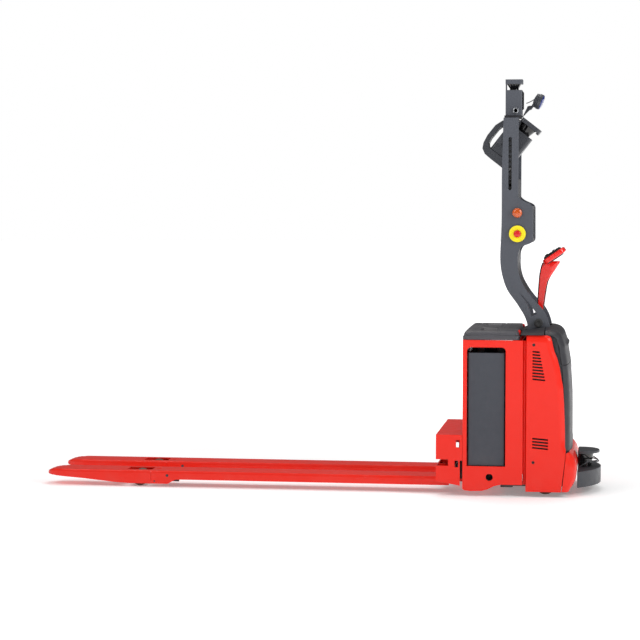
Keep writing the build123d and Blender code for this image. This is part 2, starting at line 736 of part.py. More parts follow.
def drive_frame():
    """Welded frame: bulkhead, drive deck, cheeks, caster arms, lower rails and mast beam, each its own plate."""
    deck_top = DECK_Z + DECK_PLATE
    rail_top = RAIL_LOW + 24
    inner = FRAME_Y - CHEEK
    post_front = BULKHEAD_X + 20
    bulkhead_reach = COVER_Y - COVER_DEPTH - GAP
    bulkhead = block(BULKHEAD_X, FRAME_FRONT, -bulkhead_reach, bulkhead_reach, BULKHEAD_LOW, BOX_TOP - 4)
    deck = block(FRAME_FRONT, DRIVE_REAR + 190, -inner, inner, DECK_Z, deck_top)
    deck -= rod_z(DRIVE_X, 0, NECK_R + 5, DECK_Z - 1, deck_top + 1)
    beam = block(FRAME_FRONT, DRIVE_REAR + 118, -205, 205, BEAM_Z, BEAM_Z + BEAM_PLATE)
    boss = rod_z(TILLER_X, 0, TILLER_STEM_R + 13, BEAM_Z + BEAM_PLATE, BOX_TOP + 8)
    stem_hole = rod_z(TILLER_X, 0, TILLER_STEM_R + RUN, BEAM_Z - 1, BOX_TOP + 9)
    rail_reach = HALF - SHEET - 2
    plates = [bulkhead, deck, beam - stem_hole, boss - stem_hole]
    plates.append(block(RAIL_REAR, RAIL_REAR + 60, -rail_reach, rail_reach, RAIL_LOW, rail_top))
    for s in (-1, 1):
        y0, y1 = sorted((s * inner, s * FRAME_Y))
        plates.append(block(FRAME_FRONT, DRIVE_REAR + 170, y0, y1, CASTER_TOP, deck_top))
        plates.append(block(BULKHEAD_X, FRAME_FRONT, y0, y1, CASTER_TOP, BULKHEAD_LOW))
        plates.append(block(BULKHEAD_X, post_front, y0, y1, rail_top, CASTER_TOP))
        plates.append(block(RAIL_REAR + 60, post_front, y0, y1, RAIL_LOW, rail_top))
        plates.append(block(BOX_FRONT, BULKHEAD_X, s * 250 - 20, s * 250 + 20, BULKHEAD_LOW + 4, BOX_TOP - 12))
        a0, a1 = sorted((s * (CASTER_Y - 30), s * inner))
        arm = block(DRIVE_X - 40, DRIVE_X + 40, a0, a1, CASTER_TOP, CASTER_TOP + 14)
        plates.append(arm - rod_z(DRIVE_X, s * CASTER_Y, STEM_R + RUN, CASTER_TOP - 1, CASTER_TOP + 20))
    return group(*plates, slew_ring())


def gear_outline(teeth, module, backlash):
    """Involute tooth outline as a closed list of points."""
    pressure = math.radians(20)
    pitch_r = teeth * module / 2
    base_r = pitch_r * math.cos(pressure)
    tip_r = pitch_r + 0.8 * module
    root_r = pitch_r - 1.1 * module
    half = math.pi / (2 * teeth) - backlash / (2 * pitch_r)
    roll = math.tan(pressure) - pressure
    flank = []
    steps = 4
    start = max(base_r, root_r + 0.1)
    for i in range(steps + 1):
        r = start + (tip_r - start) * i / steps
        at = math.acos(min(1.0, base_r / r))
        flank.append((r, half + roll - (math.tan(at) - at)))
    points = []
    for k in range(teeth):
        centre = 2 * math.pi * k / teeth
        side = [(root_r, flank[0][1] + 0.002)] + flank
        points += [(r * math.cos(centre - a), r * math.sin(centre - a)) for r, a in side]
        points += [(r * math.cos(centre + a), r * math.sin(centre + a)) for r, a in reversed(side)]
    return points


GEAR_MODULE = 3.0
RING_TEETH = 52
PINION_TEETH = 16
BACKLASH = 0.6
GEAR_LOW = DECK_Z + DECK_PLATE + 10.0
GEAR_HIGH = GEAR_LOW + 15.0
PINION_Y = -GEAR_MODULE * (RING_TEETH + PINION_TEETH) / 2
PINION_SHAFT_R = 6.0


def gear(teeth, turn):
    """Spur gear between the two gear levels, turned by an angle in degrees."""
    solid = plan(gear_outline(teeth, GEAR_MODULE, BACKLASH), GEAR_LOW, GEAR_HIGH)
    return Rot(0, 0, turn) * solid


def steer_ring_gear():
    """Ring gear clamped to the neck of the drive gearbox."""
    ring = gear(RING_TEETH, -90)
    return Pos(DRIVE_X, 0, 0) * (ring - Pos(0, 0, (GEAR_LOW + GEAR_HIGH) / 2) * Cylinder(NECK_R, 40))


def steer_pinion():
    """Pinion and its shaft, in mesh with the ring gear."""
    pinion = Pos(DRIVE_X, PINION_Y, 0) * gear(PINION_TEETH, 90 + 180 / PINION_TEETH)
    return pinion + rod_z(DRIVE_X, PINION_Y, PINION_SHAFT_R, GEAR_LOW, GEAR_HIGH + 16)


def steer_motor():
    """Steering motor with its bracket plate and leg."""
    plate_low = GEAR_HIGH + 3
    body = block(DRIVE_X - 42, DRIVE_X + 42, PINION_Y - 50, PINION_Y + 40, plate_low, plate_low + 6)
    body += block(DRIVE_X - 42, DRIVE_X + 42, PINION_Y - 50, PINION_Y - 42, DECK_Z + DECK_PLATE, plate_low)
    body += rod_z(DRIVE_X, PINION_Y, 36, plate_low + 6, plate_low + 110)
    return body - rod_z(DRIVE_X, PINION_Y, PINION_SHAFT_R + RUN, plate_low - 1, plate_low + 20)


def slew_ring():
    """Fixed race of the steering bearing, under the drive deck."""
    ring = rod_z(DRIVE_X, 0, SLEW_R + 14, DECK_Z - 14, DECK_Z)
    return ring - rod_z(DRIVE_X, 0, SLEW_R + RUN, DECK_Z - 15, DECK_Z + 1)


def drive_unit():
    """Gearbox with its turning flange, neck and wheel leg, the ring gear and the motor."""
    top = DECK_Z - GAP
    body = rod_z(DRIVE_X, 0, SLEW_R, DECK_Z - 14, top)
    body += rod_z(DRIVE_X, 0, NECK_R, DECK_Z - 14, GEAR_HIGH)
    body += rod_z(DRIVE_X, 0, 80, 238, DECK_Z - 15)
    body += rod_z(DRIVE_X, 0, SLEW_R, DECK_Z - 16, DECK_Z - 13)
    leg_y = DRIVE_WHEEL_WIDTH / 2 + 5
    body += block(DRIVE_X - 38, DRIVE_X + 38, leg_y, leg_y + 38, DRIVE_WHEEL_R, 250)
    body += rod_y(DRIVE_X, DRIVE_WHEEL_R, 38, leg_y, leg_y + 38)
    body -= rod_y(DRIVE_X, DRIVE_WHEEL_R, 14 + RUN, leg_y - 1, leg_y + 30)
    return group(body, steer_ring_gear(), drive_motor())


def drive_motor():
    """Traction motor standing on the gearbox's neck."""
    body = rod_z(DRIVE_X, 0, 56, GEAR_HIGH, 540)
    for i in range(5):
        z = GEAR_HIGH + 40 + i * 30
        body -= rod_z(DRIVE_X, 0, 57, z, z + 8) - rod_z(DRIVE_X, 0, 52, z - 1, z + 9)
    return body


def drive_hub():
    """Cast wheel hub with its axle stub."""
    half = DRIVE_WHEEL_WIDTH / 2
    rim_r = DRIVE_WHEEL_R - 22
    hub = rod_y(DRIVE_X, DRIVE_WHEEL_R, rim_r, -half, half)
    hub -= rod_y(DRIVE_X, DRIVE_WHEEL_R, rim_r - 12, -half - 1, -8)
    hub += rod_y(DRIVE_X, DRIVE_WHEEL_R, 14, half, half + 33)
    return hub


def drive_tyre():
    """Polyurethane tyre bonded to the hub."""
    half = DRIVE_WHEEL_WIDTH / 2
    tyre = rod_y(DRIVE_X, DRIVE_WHEEL_R, DRIVE_WHEEL_R, -half, half)
    tyre = chamfer(tyre.edges(), 5)
    tyre -= rod_y(DRIVE_X, DRIVE_WHEEL_R, DRIVE_WHEEL_R - 22, -half - 1, half + 1)
    return tyre


def drive_wheel():
    """Hub and tyre together."""
    return group(drive_hub(), drive_tyre())


def caster_fork(s):
    """Swivel fork with its stem."""
    y = s * CASTER_Y
    x = DRIVE_X - CASTER_TRAIL
    half = CASTER_WIDTH / 2 + 2
    fork_top = CASTER_TOP - 8
    body = rod_z(DRIVE_X, y, 30, fork_top, CASTER_TOP - GAP)
    body += rod_z(DRIVE_X, y, STEM_R, fork_top, CASTER_TOP + 22)
    body += block(x - 20, DRIVE_X + 20, y - half - 5, y + half + 5, 2 * CASTER_R + 5, fork_top)
    for t in (-1, 1):
        y0, y1 = sorted((y + t * half, y + t * (half + 5)))
        body += profile(
            [
                (x - 16, CASTER_R - 10),
                (x + 16, CASTER_R - 10),
                (DRIVE_X + 20, 2 * CASTER_R + 5),
                (DRIVE_X + 20, fork_top),
                (x - 20, fork_top),
            ],
            y0,
            y1,
        )
    body += rod_y(x, CASTER_R, 8, y - half - 5, y + half + 5)
    return body


def caster_wheel(s):
    """Caster wheel with its bore."""
    y = s * CASTER_Y
    x = DRIVE_X - CASTER_TRAIL
    half = CASTER_WIDTH / 2
    wheel = rod_y(x, CASTER_R, CASTER_R, y - half, y + half)
    wheel = chamfer(wheel.edges(), 4)
    return wheel - rod_y(x, CASTER_R, 8 + RUN, y - half - 1, y + half + 1)


# ================================================================ hydraulics and electrics
def lift_cylinders():
    """Pair of barrels with their glands, standing on the box's foot."""
    barrels = []
    for s in (-1, 1):
        y = s * CYLINDER_Y
        barrel = rod_z(CYLINDER_X, y, CYLINDER_R, FOOT_HIGH, CYLINDER_TOP)
        barrel -= rod_z(CYLINDER_X, y, CYLINDER_BORE + RUN, FOOT_HIGH + 8, CYLINDER_TOP - 12)
        barrels.append(barrel - rod_z(CYLINDER_X, y, CYLINDER_ROD_R + RUN, FOOT_HIGH + 9, CYLINDER_TOP + 1))
    return group(*barrels)


def lift_rods():
    """Pistons and rods, reaching up to the carriage's top plate."""
    top = CARRIAGE_TOP - SHEET - 2
    rods = []
    for s in (-1, 1):
        y = s * CYLINDER_Y
        piston = rod_z(CYLINDER_X, y, CYLINDER_BORE, FOOT_HIGH + 9, FOOT_HIGH + 23)
        rods.append(piston + rod_z(CYLINDER_X, y, CYLINDER_ROD_R, FOOT_HIGH + 9, top))
    return group(*rods)


def hydraulic_unit():
    """Oil tank on the drive deck with its filler cap, and the pump motor on it."""
    low = DECK_Z + DECK_PLATE
    tank = block(FRAME_FRONT, DRIVE_REAR + 110, 110, 270, low, low + 120)
    tank = fillet(tank.edges().filter_by(Axis.Z), 12)
    tank += rod_z(DRIVE_REAR + 40, 250, 10, low + 120, low + 136)
    return group(tank, pump_motor())


def pump_motor():
    """Pump motor standing on the tank, with its valve block."""
    low = DECK_Z + DECK_PLATE + 120
    body = rod_z(DRIVE_REAR + 66, 170, 44, low, low + 130)
    return body + block(DRIVE_REAR + 40, DRIVE_REAR + 92, 212, 228, low, low + 50)


def electronics():
    """Finned drive controller, main contactor and navigation computer on the bulkhead."""
    body = block(FRAME_FRONT, FRAME_FRONT + 36, -270, -120, 420, 620)
    for i in range(8):
        y = -262 + i * 18
        body += block(FRAME_FRONT + 36, FRAME_FRONT + 54, y, y + 6, 425, 615)
    return group(body, contactor(), navigation_computer())


def contactor():
    """Main contactor with two studs."""
    body = block(FRAME_FRONT, FRAME_FRONT + 50, -250, -200, 640, 690)
    for y in (-240, -210):
        body += rod_x(y, 675, 5, FRAME_FRONT + 50, FRAME_FRONT + 62)
    return body


def navigation_computer():
    """Closed computer case under the mast beam."""
    return block(FRAME_FRONT, FRAME_FRONT + 90, -88, 88, 590, BEAM_Z - 6)


def cover_bolts():
    """Socket screws sunk in the holes of the side covers."""
    shapes = []
    for s in (-1, 1):
        for z in (COVER_TOP - 47, 174):
            y0, y1 = sorted((s * (COVER_Y - 7), s * (COVER_Y - 1)))
            screw = rod_y(DRIVE_REAR + 38, z, 8 - GAP, y0, y1)
            d0, d1 = sorted((s * (COVER_Y - 4), s * COVER_Y))
            shapes.append(screw - rod_y(DRIVE_REAR + 38, z, 4, d0, d1))
    return group(*shapes)


# ================================================================ mast and what it carries
SLOT_LOW = 745.0
BEAM_PLATE = 12.0
FOOT_X = FRAME_FRONT + GAP
SLOT_HIGH = 1011.0


def up(height):
    """Height above the top of the battery box."""
    return BOX_TOP + height


def mast_plate(s):
    """S-shaped side plate with the display bump, the long slot and the curved lower slot."""
    y0, y1 = sorted((s * (MAST_WIDTH / 2 - MAST_PLATE), s * MAST_WIDTH / 2))
    left = [(318, up(1108)), (311, up(800)), (309, up(514)), (311, up(337))]
    left += [(322, up(292)), (345, up(236)), (381, up(186)), (411, up(141)), (437, up(91)), (444, up(40))]
    bump = [(469, up(504)), (459, up(479)), (434, up(469)), (408, up(455)), (396, up(430)), (394, up(395))]
    right = [(394, up(395)), (396, up(340)), (408, up(295)), (431, up(252)), (476, up(192))]
    right += [(506, up(162)), (537, up(117)), (555, up(66)), (563, up(16))]
    foot = BEAM_Z + BEAM_PLATE
    runs = [
        left,
        [(444, up(40)), (446, up(0)), (FOOT_X, up(0))],
        [(FOOT_X, up(0)), (FOOT_X, foot)],
        [(FOOT_X, foot), (DRIVE_REAR + 112, foot)],
        [(DRIVE_REAR + 112, foot), (563, up(16))],
        list(reversed(right)),
        list(reversed(bump)),
        [(469, up(504)), (468, up(655))],
        [(468, up(655)), (461, up(670)), (433, up(685)), (410, up(697)), (394, up(712))],
        [(394, up(712)), (394, up(1108))],
        [(394, up(1108)), (318, up(1108))],
    ]
    plate = smooth(runs, y0, y1)
    slot = block(344, 360, y0 - 1, y1 + 1, up(SLOT_LOW), up(SLOT_HIGH))
    plate -= fillet(slot.edges().filter_by(Axis.Y), 7)
    curved = smooth(
        [
            [(407, up(222)), (440, up(190)), (470, up(150)), (492, up(122))],
            [(492, up(122)), (462, up(108))],
            [(462, up(108)), (455, up(140)), (436, up(180)), (407, up(222))],
        ],
        y0 - 1,
        y1 + 1,
    )
    plate -= curved
    cap0, cap1 = sorted((s * MAST_WIDTH / 2, s * (MAST_WIDTH / 2 + MAST_CAP)))
    cap = rod_y(TILLER_X - 5, up(76), 22, cap0, cap1)
    return plate + chamfer(cap.faces().sort_by(Axis.Y)[0 if s < 0 else -1].edges(), 4)


def mast_plates():
    """Both side plates."""
    return group(mast_plate(-1), mast_plate(1))


def mast_webs():
    """Webs between the plates, following their edges, with the top bracket and the display box."""
    reach = MAST_WIDTH / 2 - MAST_PLATE
    upper = block(384, 392, -reach, reach, up(395), up(WEB_TOP))
    lower = smooth(
        [
            [(392, up(395)), (394, up(340)), (406, up(295)), (429, up(252)), (446, up(228))],
            [(446, up(228)), (440, up(223))],
            [(440, up(223)), (423, up(247)), (399, up(290)), (386, up(338)), (384, up(395))],
            [(384, up(395)), (392, up(395))],
        ],
        -reach,
        reach,
    )
    rear = block(313, 319, -reach, reach, up(380), up(WEB_TOP))
    shelf = block(313, 392, -reach, reach, up(WEB_TOP - 6), up(WEB_TOP))
    return group(upper + lower + shelf + rear, mast_top_bracket(), display_housing())


def mast_top_bracket():
    """Bridge between the plates that carries the navigation scanner."""
    reach = MAST_WIDTH / 2 - MAST_PLATE
    body = block(318, 386, -reach, reach, up(1096), up(1108))
    return body + block(316, 400, -52, 52, up(1108), up(NAV_FLOOR))


DISPLAY_Y = 120.0
WEB_TOP = 800.0


def display_housing():
    """Display box in the bump, between the plates, with a recess for the screen."""
    reach = MAST_WIDTH / 2 - MAST_PLATE
    body = block(392 + GAP, 464, -reach, reach, up(484), up(664))
    return body - block(460, 470, -DISPLAY_Y, DISPLAY_Y, up(500), up(648))


def display_screen():
    """Glass screen set in the display housing."""
    return block(460, 463, -DISPLAY_Y + GAP, DISPLAY_Y - GAP, up(500) + GAP, up(648) - GAP)


LAMP_Z = 630.0
STOP_Z = 525.0
STOP_X = 391.0
COLLAR_R = 42.0
STOP_R = 18.0
STOP_TRAVEL = 5.0
COLLAR_DEPTH = 12.0


def amber_lamps():
    """Domed amber lamp on each mast plate."""
    shapes = []
    for s in (-1, 1):
        dome = Pos(STOP_X, s * MAST_WIDTH / 2, up(LAMP_Z)) * Sphere(25)
        y0, y1 = sorted((s * MAST_WIDTH / 2, s * (MAST_WIDTH / 2 + 25)))
        shapes.append(dome & block(STOP_X - 30, STOP_X + 30, y0, y1, up(LAMP_Z - 30), up(LAMP_Z + 30)))
    return group(*shapes)


def estop_collars():
    """Yellow collar round each emergency-stop mushroom."""
    face = MAST_WIDTH / 2
    shapes = []
    for s in (-1, 1):
        y0, y1 = sorted((s * face, s * (face + COLLAR_DEPTH)))
        collar = rod_y(STOP_X, up(STOP_Z), COLLAR_R, y0, y1)
        collar = fillet(collar.faces().sort_by(Axis.Y)[0 if s < 0 else -1].edges(), 4)
        shapes.append(collar - rod_y(STOP_X, up(STOP_Z), 9 + RUN, y0 - 1, y1 + 1))
    return group(*shapes)


def estop_button(s):
    """Mushroom on its stem, standing out of the collar."""
    face = MAST_WIDTH / 2
    head = face + COLLAR_DEPTH + STOP_TRAVEL + GAP
    y0, y1 = sorted((s * (face + GAP + STOP_TRAVEL), s * head))
    body = rod_y(STOP_X, up(STOP_Z), 9, y0, y1)
    h0, h1 = sorted((s * head, s * (head + 14)))
    cap = rod_y(STOP_X, up(STOP_Z), STOP_R, h0, h1)
    return body + fillet(cap.faces().sort_by(Axis.Y)[0 if s < 0 else -1].edges(), 5)


NAV_X0 = 321.0
NAV_X1 = 405.0
NAV_Y = 45.0
NAV_AXIS_X = (NAV_X0 + NAV_X1) / 2
NAV_FLOOR = 1124.0
NAV_CEILING = 1252.0
BUTTON_X = 373.0
BUTTON_Z = 1148.0


def nav_body():
    """Scanner body: hollow case over the rotor."""
    case = block(NAV_X0, NAV_X1, -NAV_Y, NAV_Y, up(NAV_FLOOR), up(NAV_CEILING))
    case = fillet(case.edges().filter_by(Axis.Z), 6)
    case -= rod_z(NAV_AXIS_X, 0, 34, up(NAV_FLOOR + 20), up(NAV_CEILING - 6))
    case += rod_z(NAV_AXIS_X, 0, 6, up(NAV_FLOOR + 10), up(NAV_FLOOR + 40))
    case -= rod_y(BUTTON_X, up(BUTTON_Z), 9 + RUN, -NAV_Y - 1, -NAV_Y + 8)
    return group(case, nav_button_ring(-1))


def nav_rotor():
    """Spinning mirror drum inside the navigation scanner."""
    drum = rod_z(NAV_AXIS_X, 0, 30, up(NAV_FLOOR + 44), up(NAV_CEILING - 10))
    drum += rod_z(NAV_AXIS_X, 0, 14, up(NAV_FLOOR + 22), up(NAV_FLOOR + 44))
    return drum - rod_z(NAV_AXIS_X, 0, 6 + RUN, up(NAV_FLOOR + 21), up(NAV_FLOOR + 41))


def nav_front_strip():
    """Dark bulged strip down the front of the scanner body."""
    strip = block(NAV_X1, NAV_X1 + 7, -26, 26, up(1150), up(1246))
    return chamfer(strip.faces().sort_by(Axis.X)[-1].edges(), 5)


def nav_optic():
    """Inverted optic cone under the cap, with a pale dome at its foot."""
    low, high = NAV_CEILING, 1283.0
    cone = Pos(NAV_AXIS_X, 0, up((low + high) / 2)) * Cone(18, 36, high - low)
    cone += rod_z(NAV_AXIS_X, 0, 24, up(low), up(low + 5))
    return group(cone, nav_front_strip())


def nav_cap():
    """Cap plate with its rear post."""
    cap = block(NAV_X0 - 1, NAV_X1 + 2, -NAV_Y, NAV_Y, up(1283), up(1306))
    cap = fillet(cap.edges().filter_by(Axis.Z), 8)
    return cap + block(NAV_X0 - 1, NAV_X0 + 5, -14, 14, up(NAV_CEILING), up(1283))


def nav_button_ring(s):
    """Bright ring round the push button."""
    y0, y1 = sorted((s * NAV_Y, s * (NAV_Y + 4)))
    ring = rod_y(BUTTON_X, up(BUTTON_Z), 15, y0, y1)
    return ring - rod_y(BUTTON_X, up(BUTTON_Z), 9 + RUN, y0 - 1, y1 + 1)


def nav_button(s):
    """Push button that resets the truck."""
    y0, y1 = sorted((s * (NAV_Y - 4), s * (NAV_Y + 3)))
    return rod_y(BUTTON_X, up(BUTTON_Z), 9, y0, y1)


LAMP_AIM = 22.0
LAMP_R = 40.0
LAMP_LENGTH = 42.0
LAMP_AT = (466.0, 1204.0)


def lamp_frame():
    """Place of the spot lamp's rear face, turned to its aim."""
    return Pos(LAMP_AT[0], 0, up(LAMP_AT[1])) * Rot(0, LAMP_AIM, 0)


def spot_lamp():
    """Finned lamp body, hollow in front for the lens."""
    turn = Rot(0, 90, 0)
    body = Pos(LAMP_LENGTH / 2, 0, 0) * turn * Cylinder(LAMP_R, LAMP_LENGTH)
    body = chamfer(body.edges().sort_by(Axis.X)[:1], 8)
    body -= Pos(LAMP_LENGTH - 4, 0, 0) * turn * Cylinder(LAMP_R - 4, 10)
    for s in (-1, 1):
        body += Pos(6, s * (LAMP_R - 6), 0) * Box(10, 10, 14)
    body += Pos(-7, 0, 0) * Box(16, 20, 36)
    return group(lamp_frame() * body + lamp_yoke())


def spot_lens():
    """Blue lens disc."""
    lens = Pos(LAMP_LENGTH - 6, 0, 0) * Rot(0, 90, 0) * Cylinder(LAMP_R - 4 - GAP, 6)
    return lamp_frame() * lens


LAMP_PIVOT = (444.0, 1163.0)


def lamp_bracket():
    """Arm from the mast bracket to the lamp's pivot, with its pivot pin."""
    x, h = LAMP_PIVOT
    neck = [(400, up(1110)), (400, up(1120)), (408.5, up(1123)), (x - 12, up(h + 9))]
    body = profile(neck + [(x, up(h + 9)), (x, up(h - 9))], -9, 9)
    body += rod_y(x, up(h), 11, -9, 9)
    return body + rod_y(x, up(h), 5, -17, 17)


def lamp_yoke():
    """Yoke on the lamp's back that turns about the pivot pin."""
    x, h = LAMP_PIVOT
    body = None
    for s in (-1, 1):
        y0, y1 = sorted((s * (9 + GAP), s * 16))
        ear = rod_y(x, up(h), 11, y0, y1)
        ear += profile([(x - 8, up(h)), (x + 8, up(h - 2)), (x + 24, up(h + 26)), (x + 4, up(h + 34))], y0, y1)
        body = ear if body is None else body + ear
    body -= rod_y(x, up(h), 5 + RUN, -20, 20)
    return body


TILT = 38.0
TILT_AT = (457.0, 1080.0)


def tilt_frame():
    """Centre of the tilted scanner's top face, with its axis leaning forwards."""
    return Pos(TILT_AT[0], 0, up(TILT_AT[1])) * Rot(0, TILT, 0)


def tilt_scanner_cap():
    """Cap of the tilted scanner."""
    cap = Pos(0, 0, -11) * Box(116, 112, 22)
    cap = fillet(cap.edges().filter_by(Axis.Z), 18)
    cap += Pos(50, 0, -24) * Box(14, 60, 10)
    return tilt_frame() * cap


def tilt_scanner_optic():
    """Dark optic cone under the cap."""
    return tilt_frame() * Pos(-10, 0, -43) * Cone(34, 46, 42)


def tilt_scanner_shell():
    """Body of the tilted scanner."""
    body = Pos(-22, 0, -145) * Box(140, 106, 162)
    body = fillet(body.edges().filter_by(Axis.Z), 16)
    return tilt_frame() * body


def tilt_scanner_body():
    """Body and cap together."""
    return group(tilt_scanner_shell(), tilt_scanner_cap())


def tilt_scanner_guard():
    """Rounded strap round the back of the tilted scanner."""
    outer = [
        (-92.4, -76), (-128, -76), (-143, -118), (-144, -183), (-136, -226), (-122, -252), (-96, -266),
        (-58, -268), (50, -268), (50, -226.4),
    ]
    inner = [(-92.4, -226.4), (-104, -222), (-114, -210), (-119, -185), (-118, -129), (-111, -100)]
    wire = Polyline(*[(x, -60, z) for x, z in outer + inner], close=True)
    strap = extrude(make_face(wire), amount=120, dir=(0, 1, 0))
    return group(tilt_frame() * strap, tilt_scanner_arms())


def tilt_scanner_arms():
    """Two plates that hold the tilted scanner between the mast plates."""
    shapes = []
    for s in (-1, 1):
        y0, y1 = sorted((s * 53, s * (MAST_WIDTH / 2 - MAST_PLATE)))
        shapes.append(tilt_frame() * Pos(-100 + 30, (y0 + y1) / 2, -150) * Box(30, y1 - y0, 60))
    return group(*shapes)


# ================================================================ front safety scanner
SKIRT_RADIUS = 377.0
SKIRT_LOW = 40.0
SKIRT_HIGH = 120.0
SCANNER_X = BUMPER_FRONT + 14.0
CAP_LOW = 190.0


def front_scanner_skirt():
    """Wide curved foot of the scanner unit, hollow from below."""
    x0 = BUMPER_FRONT + GAP
    centre = NOSE_REACH - SKIRT_RADIUS
    front = block(x0, NOSE_REACH + 1, -HALF, HALF, SKIRT_LOW, SKIRT_HIGH)
    body = rod_z(centre, 0, SKIRT_RADIUS, SKIRT_LOW, SKIRT_HIGH) & front
    hollow = rod_z(centre, 0, SKIRT_RADIUS - 8, SKIRT_LOW - 1, SKIRT_HIGH - 8)
    hollow = hollow & block(x0 + 8, NOSE_REACH, -HALF, HALF, 0, SKIRT_HIGH)
    return group(body - hollow, front_scanner_guard())


def front_scanner_body():
    """Flared optic housing between the skirt and the cap."""
    low, high = SKIRT_HIGH, CAP_LOW
    body = Pos(SCANNER_X, 0, (low + high) / 2) * Cone(54, 66, high - low)
    body += block(BUMPER_FRONT + GAP, SCANNER_X, -54, 54, low, high)
    body = body & block(BUMPER_FRONT + GAP, NOSE_REACH, -100, 100, low, high)
    return body


def front_scanner_cap():
    """Thin curved plate on top of the scanner."""
    disc = rod_z(SCANNER_X, 0, 95, CAP_LOW, CAP_LOW + 15)
    disc += block(BUMPER_FRONT + GAP, SCANNER_X, -95, 95, CAP_LOW, CAP_LOW + 15)
    disc = disc & block(BUMPER_FRONT + GAP, NOSE_REACH, -100, 100, CAP_LOW, CAP_LOW + 15)
    return chamfer(disc.faces().sort_by(Axis.Z)[-1].edges(), 4)


def front_scanner_guard():
    """Bent wire guard round the optic, standing on the skirt."""
    ring = Pos(SCANNER_X, 0, 150) * Torus(86, 3)
    ring = ring & block(SCANNER_X + 30, NOSE_REACH, -90, 90, 140, 160)
    reach = math.sqrt(86**2 - 30**2)
    for s in (-1, 1):
        ring += rod_z(SCANNER_X + 31, s * (reach - 0.4), 3, SKIRT_HIGH, 150)
    return ring


# ================================================================ tiller
PIN_R = 8.0
HUB_R = 20.0
HUB_Y = 22.0
EAR = 9.0


def tiller_base():
    """Turning post with two ears for the tiller's pivot."""
    low = BOX_TOP + 8 + GAP
    body = rod_z(TILLER_X, 0, TILLER_STEM_R, BEAM_Z - 4, low)
    body += rod_z(TILLER_X, 0, 32, low, TILLER_PIVOT_Z - HUB_R - 3)
    for s in (-1, 1):
        y0, y1 = sorted((s * (HUB_Y + GAP), s * (HUB_Y + GAP + EAR)))
        body += rod_y(TILLER_X, TILLER_PIVOT_Z, HUB_R, y0, y1)
        body += block(TILLER_X - HUB_R, TILLER_X + HUB_R, y0, y1, low, TILLER_PIVOT_Z)
    body = body & rod_z(TILLER_X, 0, 46, BEAM_Z - 5, TILLER_PIVOT_Z + 40)
    body -= rod_y(TILLER_X, TILLER_PIVOT_Z, PIN_R, -60, 60)
    return group(body, tiller_pivot_pin())


def tiller_pivot_pin():
    """Pivot pin through the ears and the tiller's hub."""
    reach = HUB_Y + GAP + EAR
    return rod_y(TILLER_X, TILLER_PIVOT_Z, PIN_R - RUN, -reach, reach)


def arm_edges(inset):
    """Rear and front edges of the tiller seen from the side, moved inwards."""
    x = TILLER_X
    t = inset
    rear = [(x - 17, up(96)), (x - 16, up(219)), (x - 12, up(275)), (x - 3, up(345)), (x + 22, up(396))]
    front = [(x + 62, up(330)), (x + 37, up(278)), (x + 26, up(219)), (x + 20, up(180)), (x + 18, up(96))]
    return [(px + t, pz) for px, pz in rear], [(px - t, pz) for px, pz in front]


def tiller_arm():
    """Black core of the tiller with its pivot hub."""
    body = arm_body() + rod_y(TILLER_X, TILLER_PIVOT_Z, HUB_R, -HUB_Y, HUB_Y)
    body -= rod_y(TILLER_X, TILLER_PIVOT_Z, PIN_R + RUN, -30, 30)
    return group(body - head_frame() * Box(HEAD_LENGTH, 100, HEAD_DEPTH), tiller_head())


def tiller_cheeks():
    """Red side shells on the tiller arm."""
    rear, front = arm_edges(5)
    rear = [(rear[0][0], up(120))] + rear[1:]
    front = front[:-1] + [(front[-1][0], up(120))]
    runs = [rear, [rear[-1], front[0]], front, [front[-1], rear[0]]]
    cheeks = smooth(runs, -HUB_Y - 9, -HUB_Y) + smooth(runs, HUB_Y, HUB_Y + 9)
    return cheeks - head_frame() * Box(HEAD_LENGTH + 2 * GAP, 100, HEAD_DEPTH + 2 * GAP)


def arm_body():
    """Curved arm between its two edges, without the hub."""
    rear, front = arm_edges(0)
    runs = [rear, [rear[-1], front[0]], front, [front[-1], rear[0]]]
    return smooth(runs, -HUB_Y, HUB_Y)


def tiller_shell():
    """Red cheeks and hand guard."""
    return group(tiller_cheeks() - tiller_loop(), tiller_loop() - arm_body())


HEAD_AT = (64.0, 413.0)
HEAD_LEAN = 34.0
LOOP_Y = 92.0
HEAD_Y = 30.0
HEAD_LENGTH = 104.0
HEAD_DEPTH = 44.0


def head_frame():
    """Centre of the tiller's head; local X runs up and forwards along it, local Z out of its top."""
    return Pos(TILLER_X + HEAD_AT[0], 0, up(HEAD_AT[1])) * Rot(0, -HEAD_LEAN, 0)


def tiller_head():
    """Black control head."""
    head = Box(HEAD_LENGTH, 2 * HEAD_Y, HEAD_DEPTH)
    head = fillet(head.edges().filter_by(Axis.Y), 14)
    head -= Rot(90, 0, 0) * Cylinder(6 + RUN, 2 * HEAD_Y + 2)
    for x, y, r in BUTTONS.values():
        head -= Pos(x, y, 18) * Cylinder(r + RUN, 14)
    head -= Pos(HEAD_LENGTH / 2 - 6, 0, -2) * Rot(0, 90, 0) * Cylinder(11 + RUN, 28)
    return head_frame() * head


BUTTONS = {"horn_button": (-30.0, 0.0, 9.0), "lift_button": (12.0, 15.0, 7.0), "lower_button": (12.0, -15.0, 7.0)}


def head_button(name):
    """One push button in the head's top."""
    x, y, r = BUTTONS[name]
    return head_frame() * Pos(x, y, 20.5) * Cylinder(r, 11 - 2 * GAP)


def belly_button():
    """Reversing button at the tip of the head."""
    return head_frame() * Pos(53, 0, -2) * Rot(0, 90, 0) * Cylinder(11, 20)


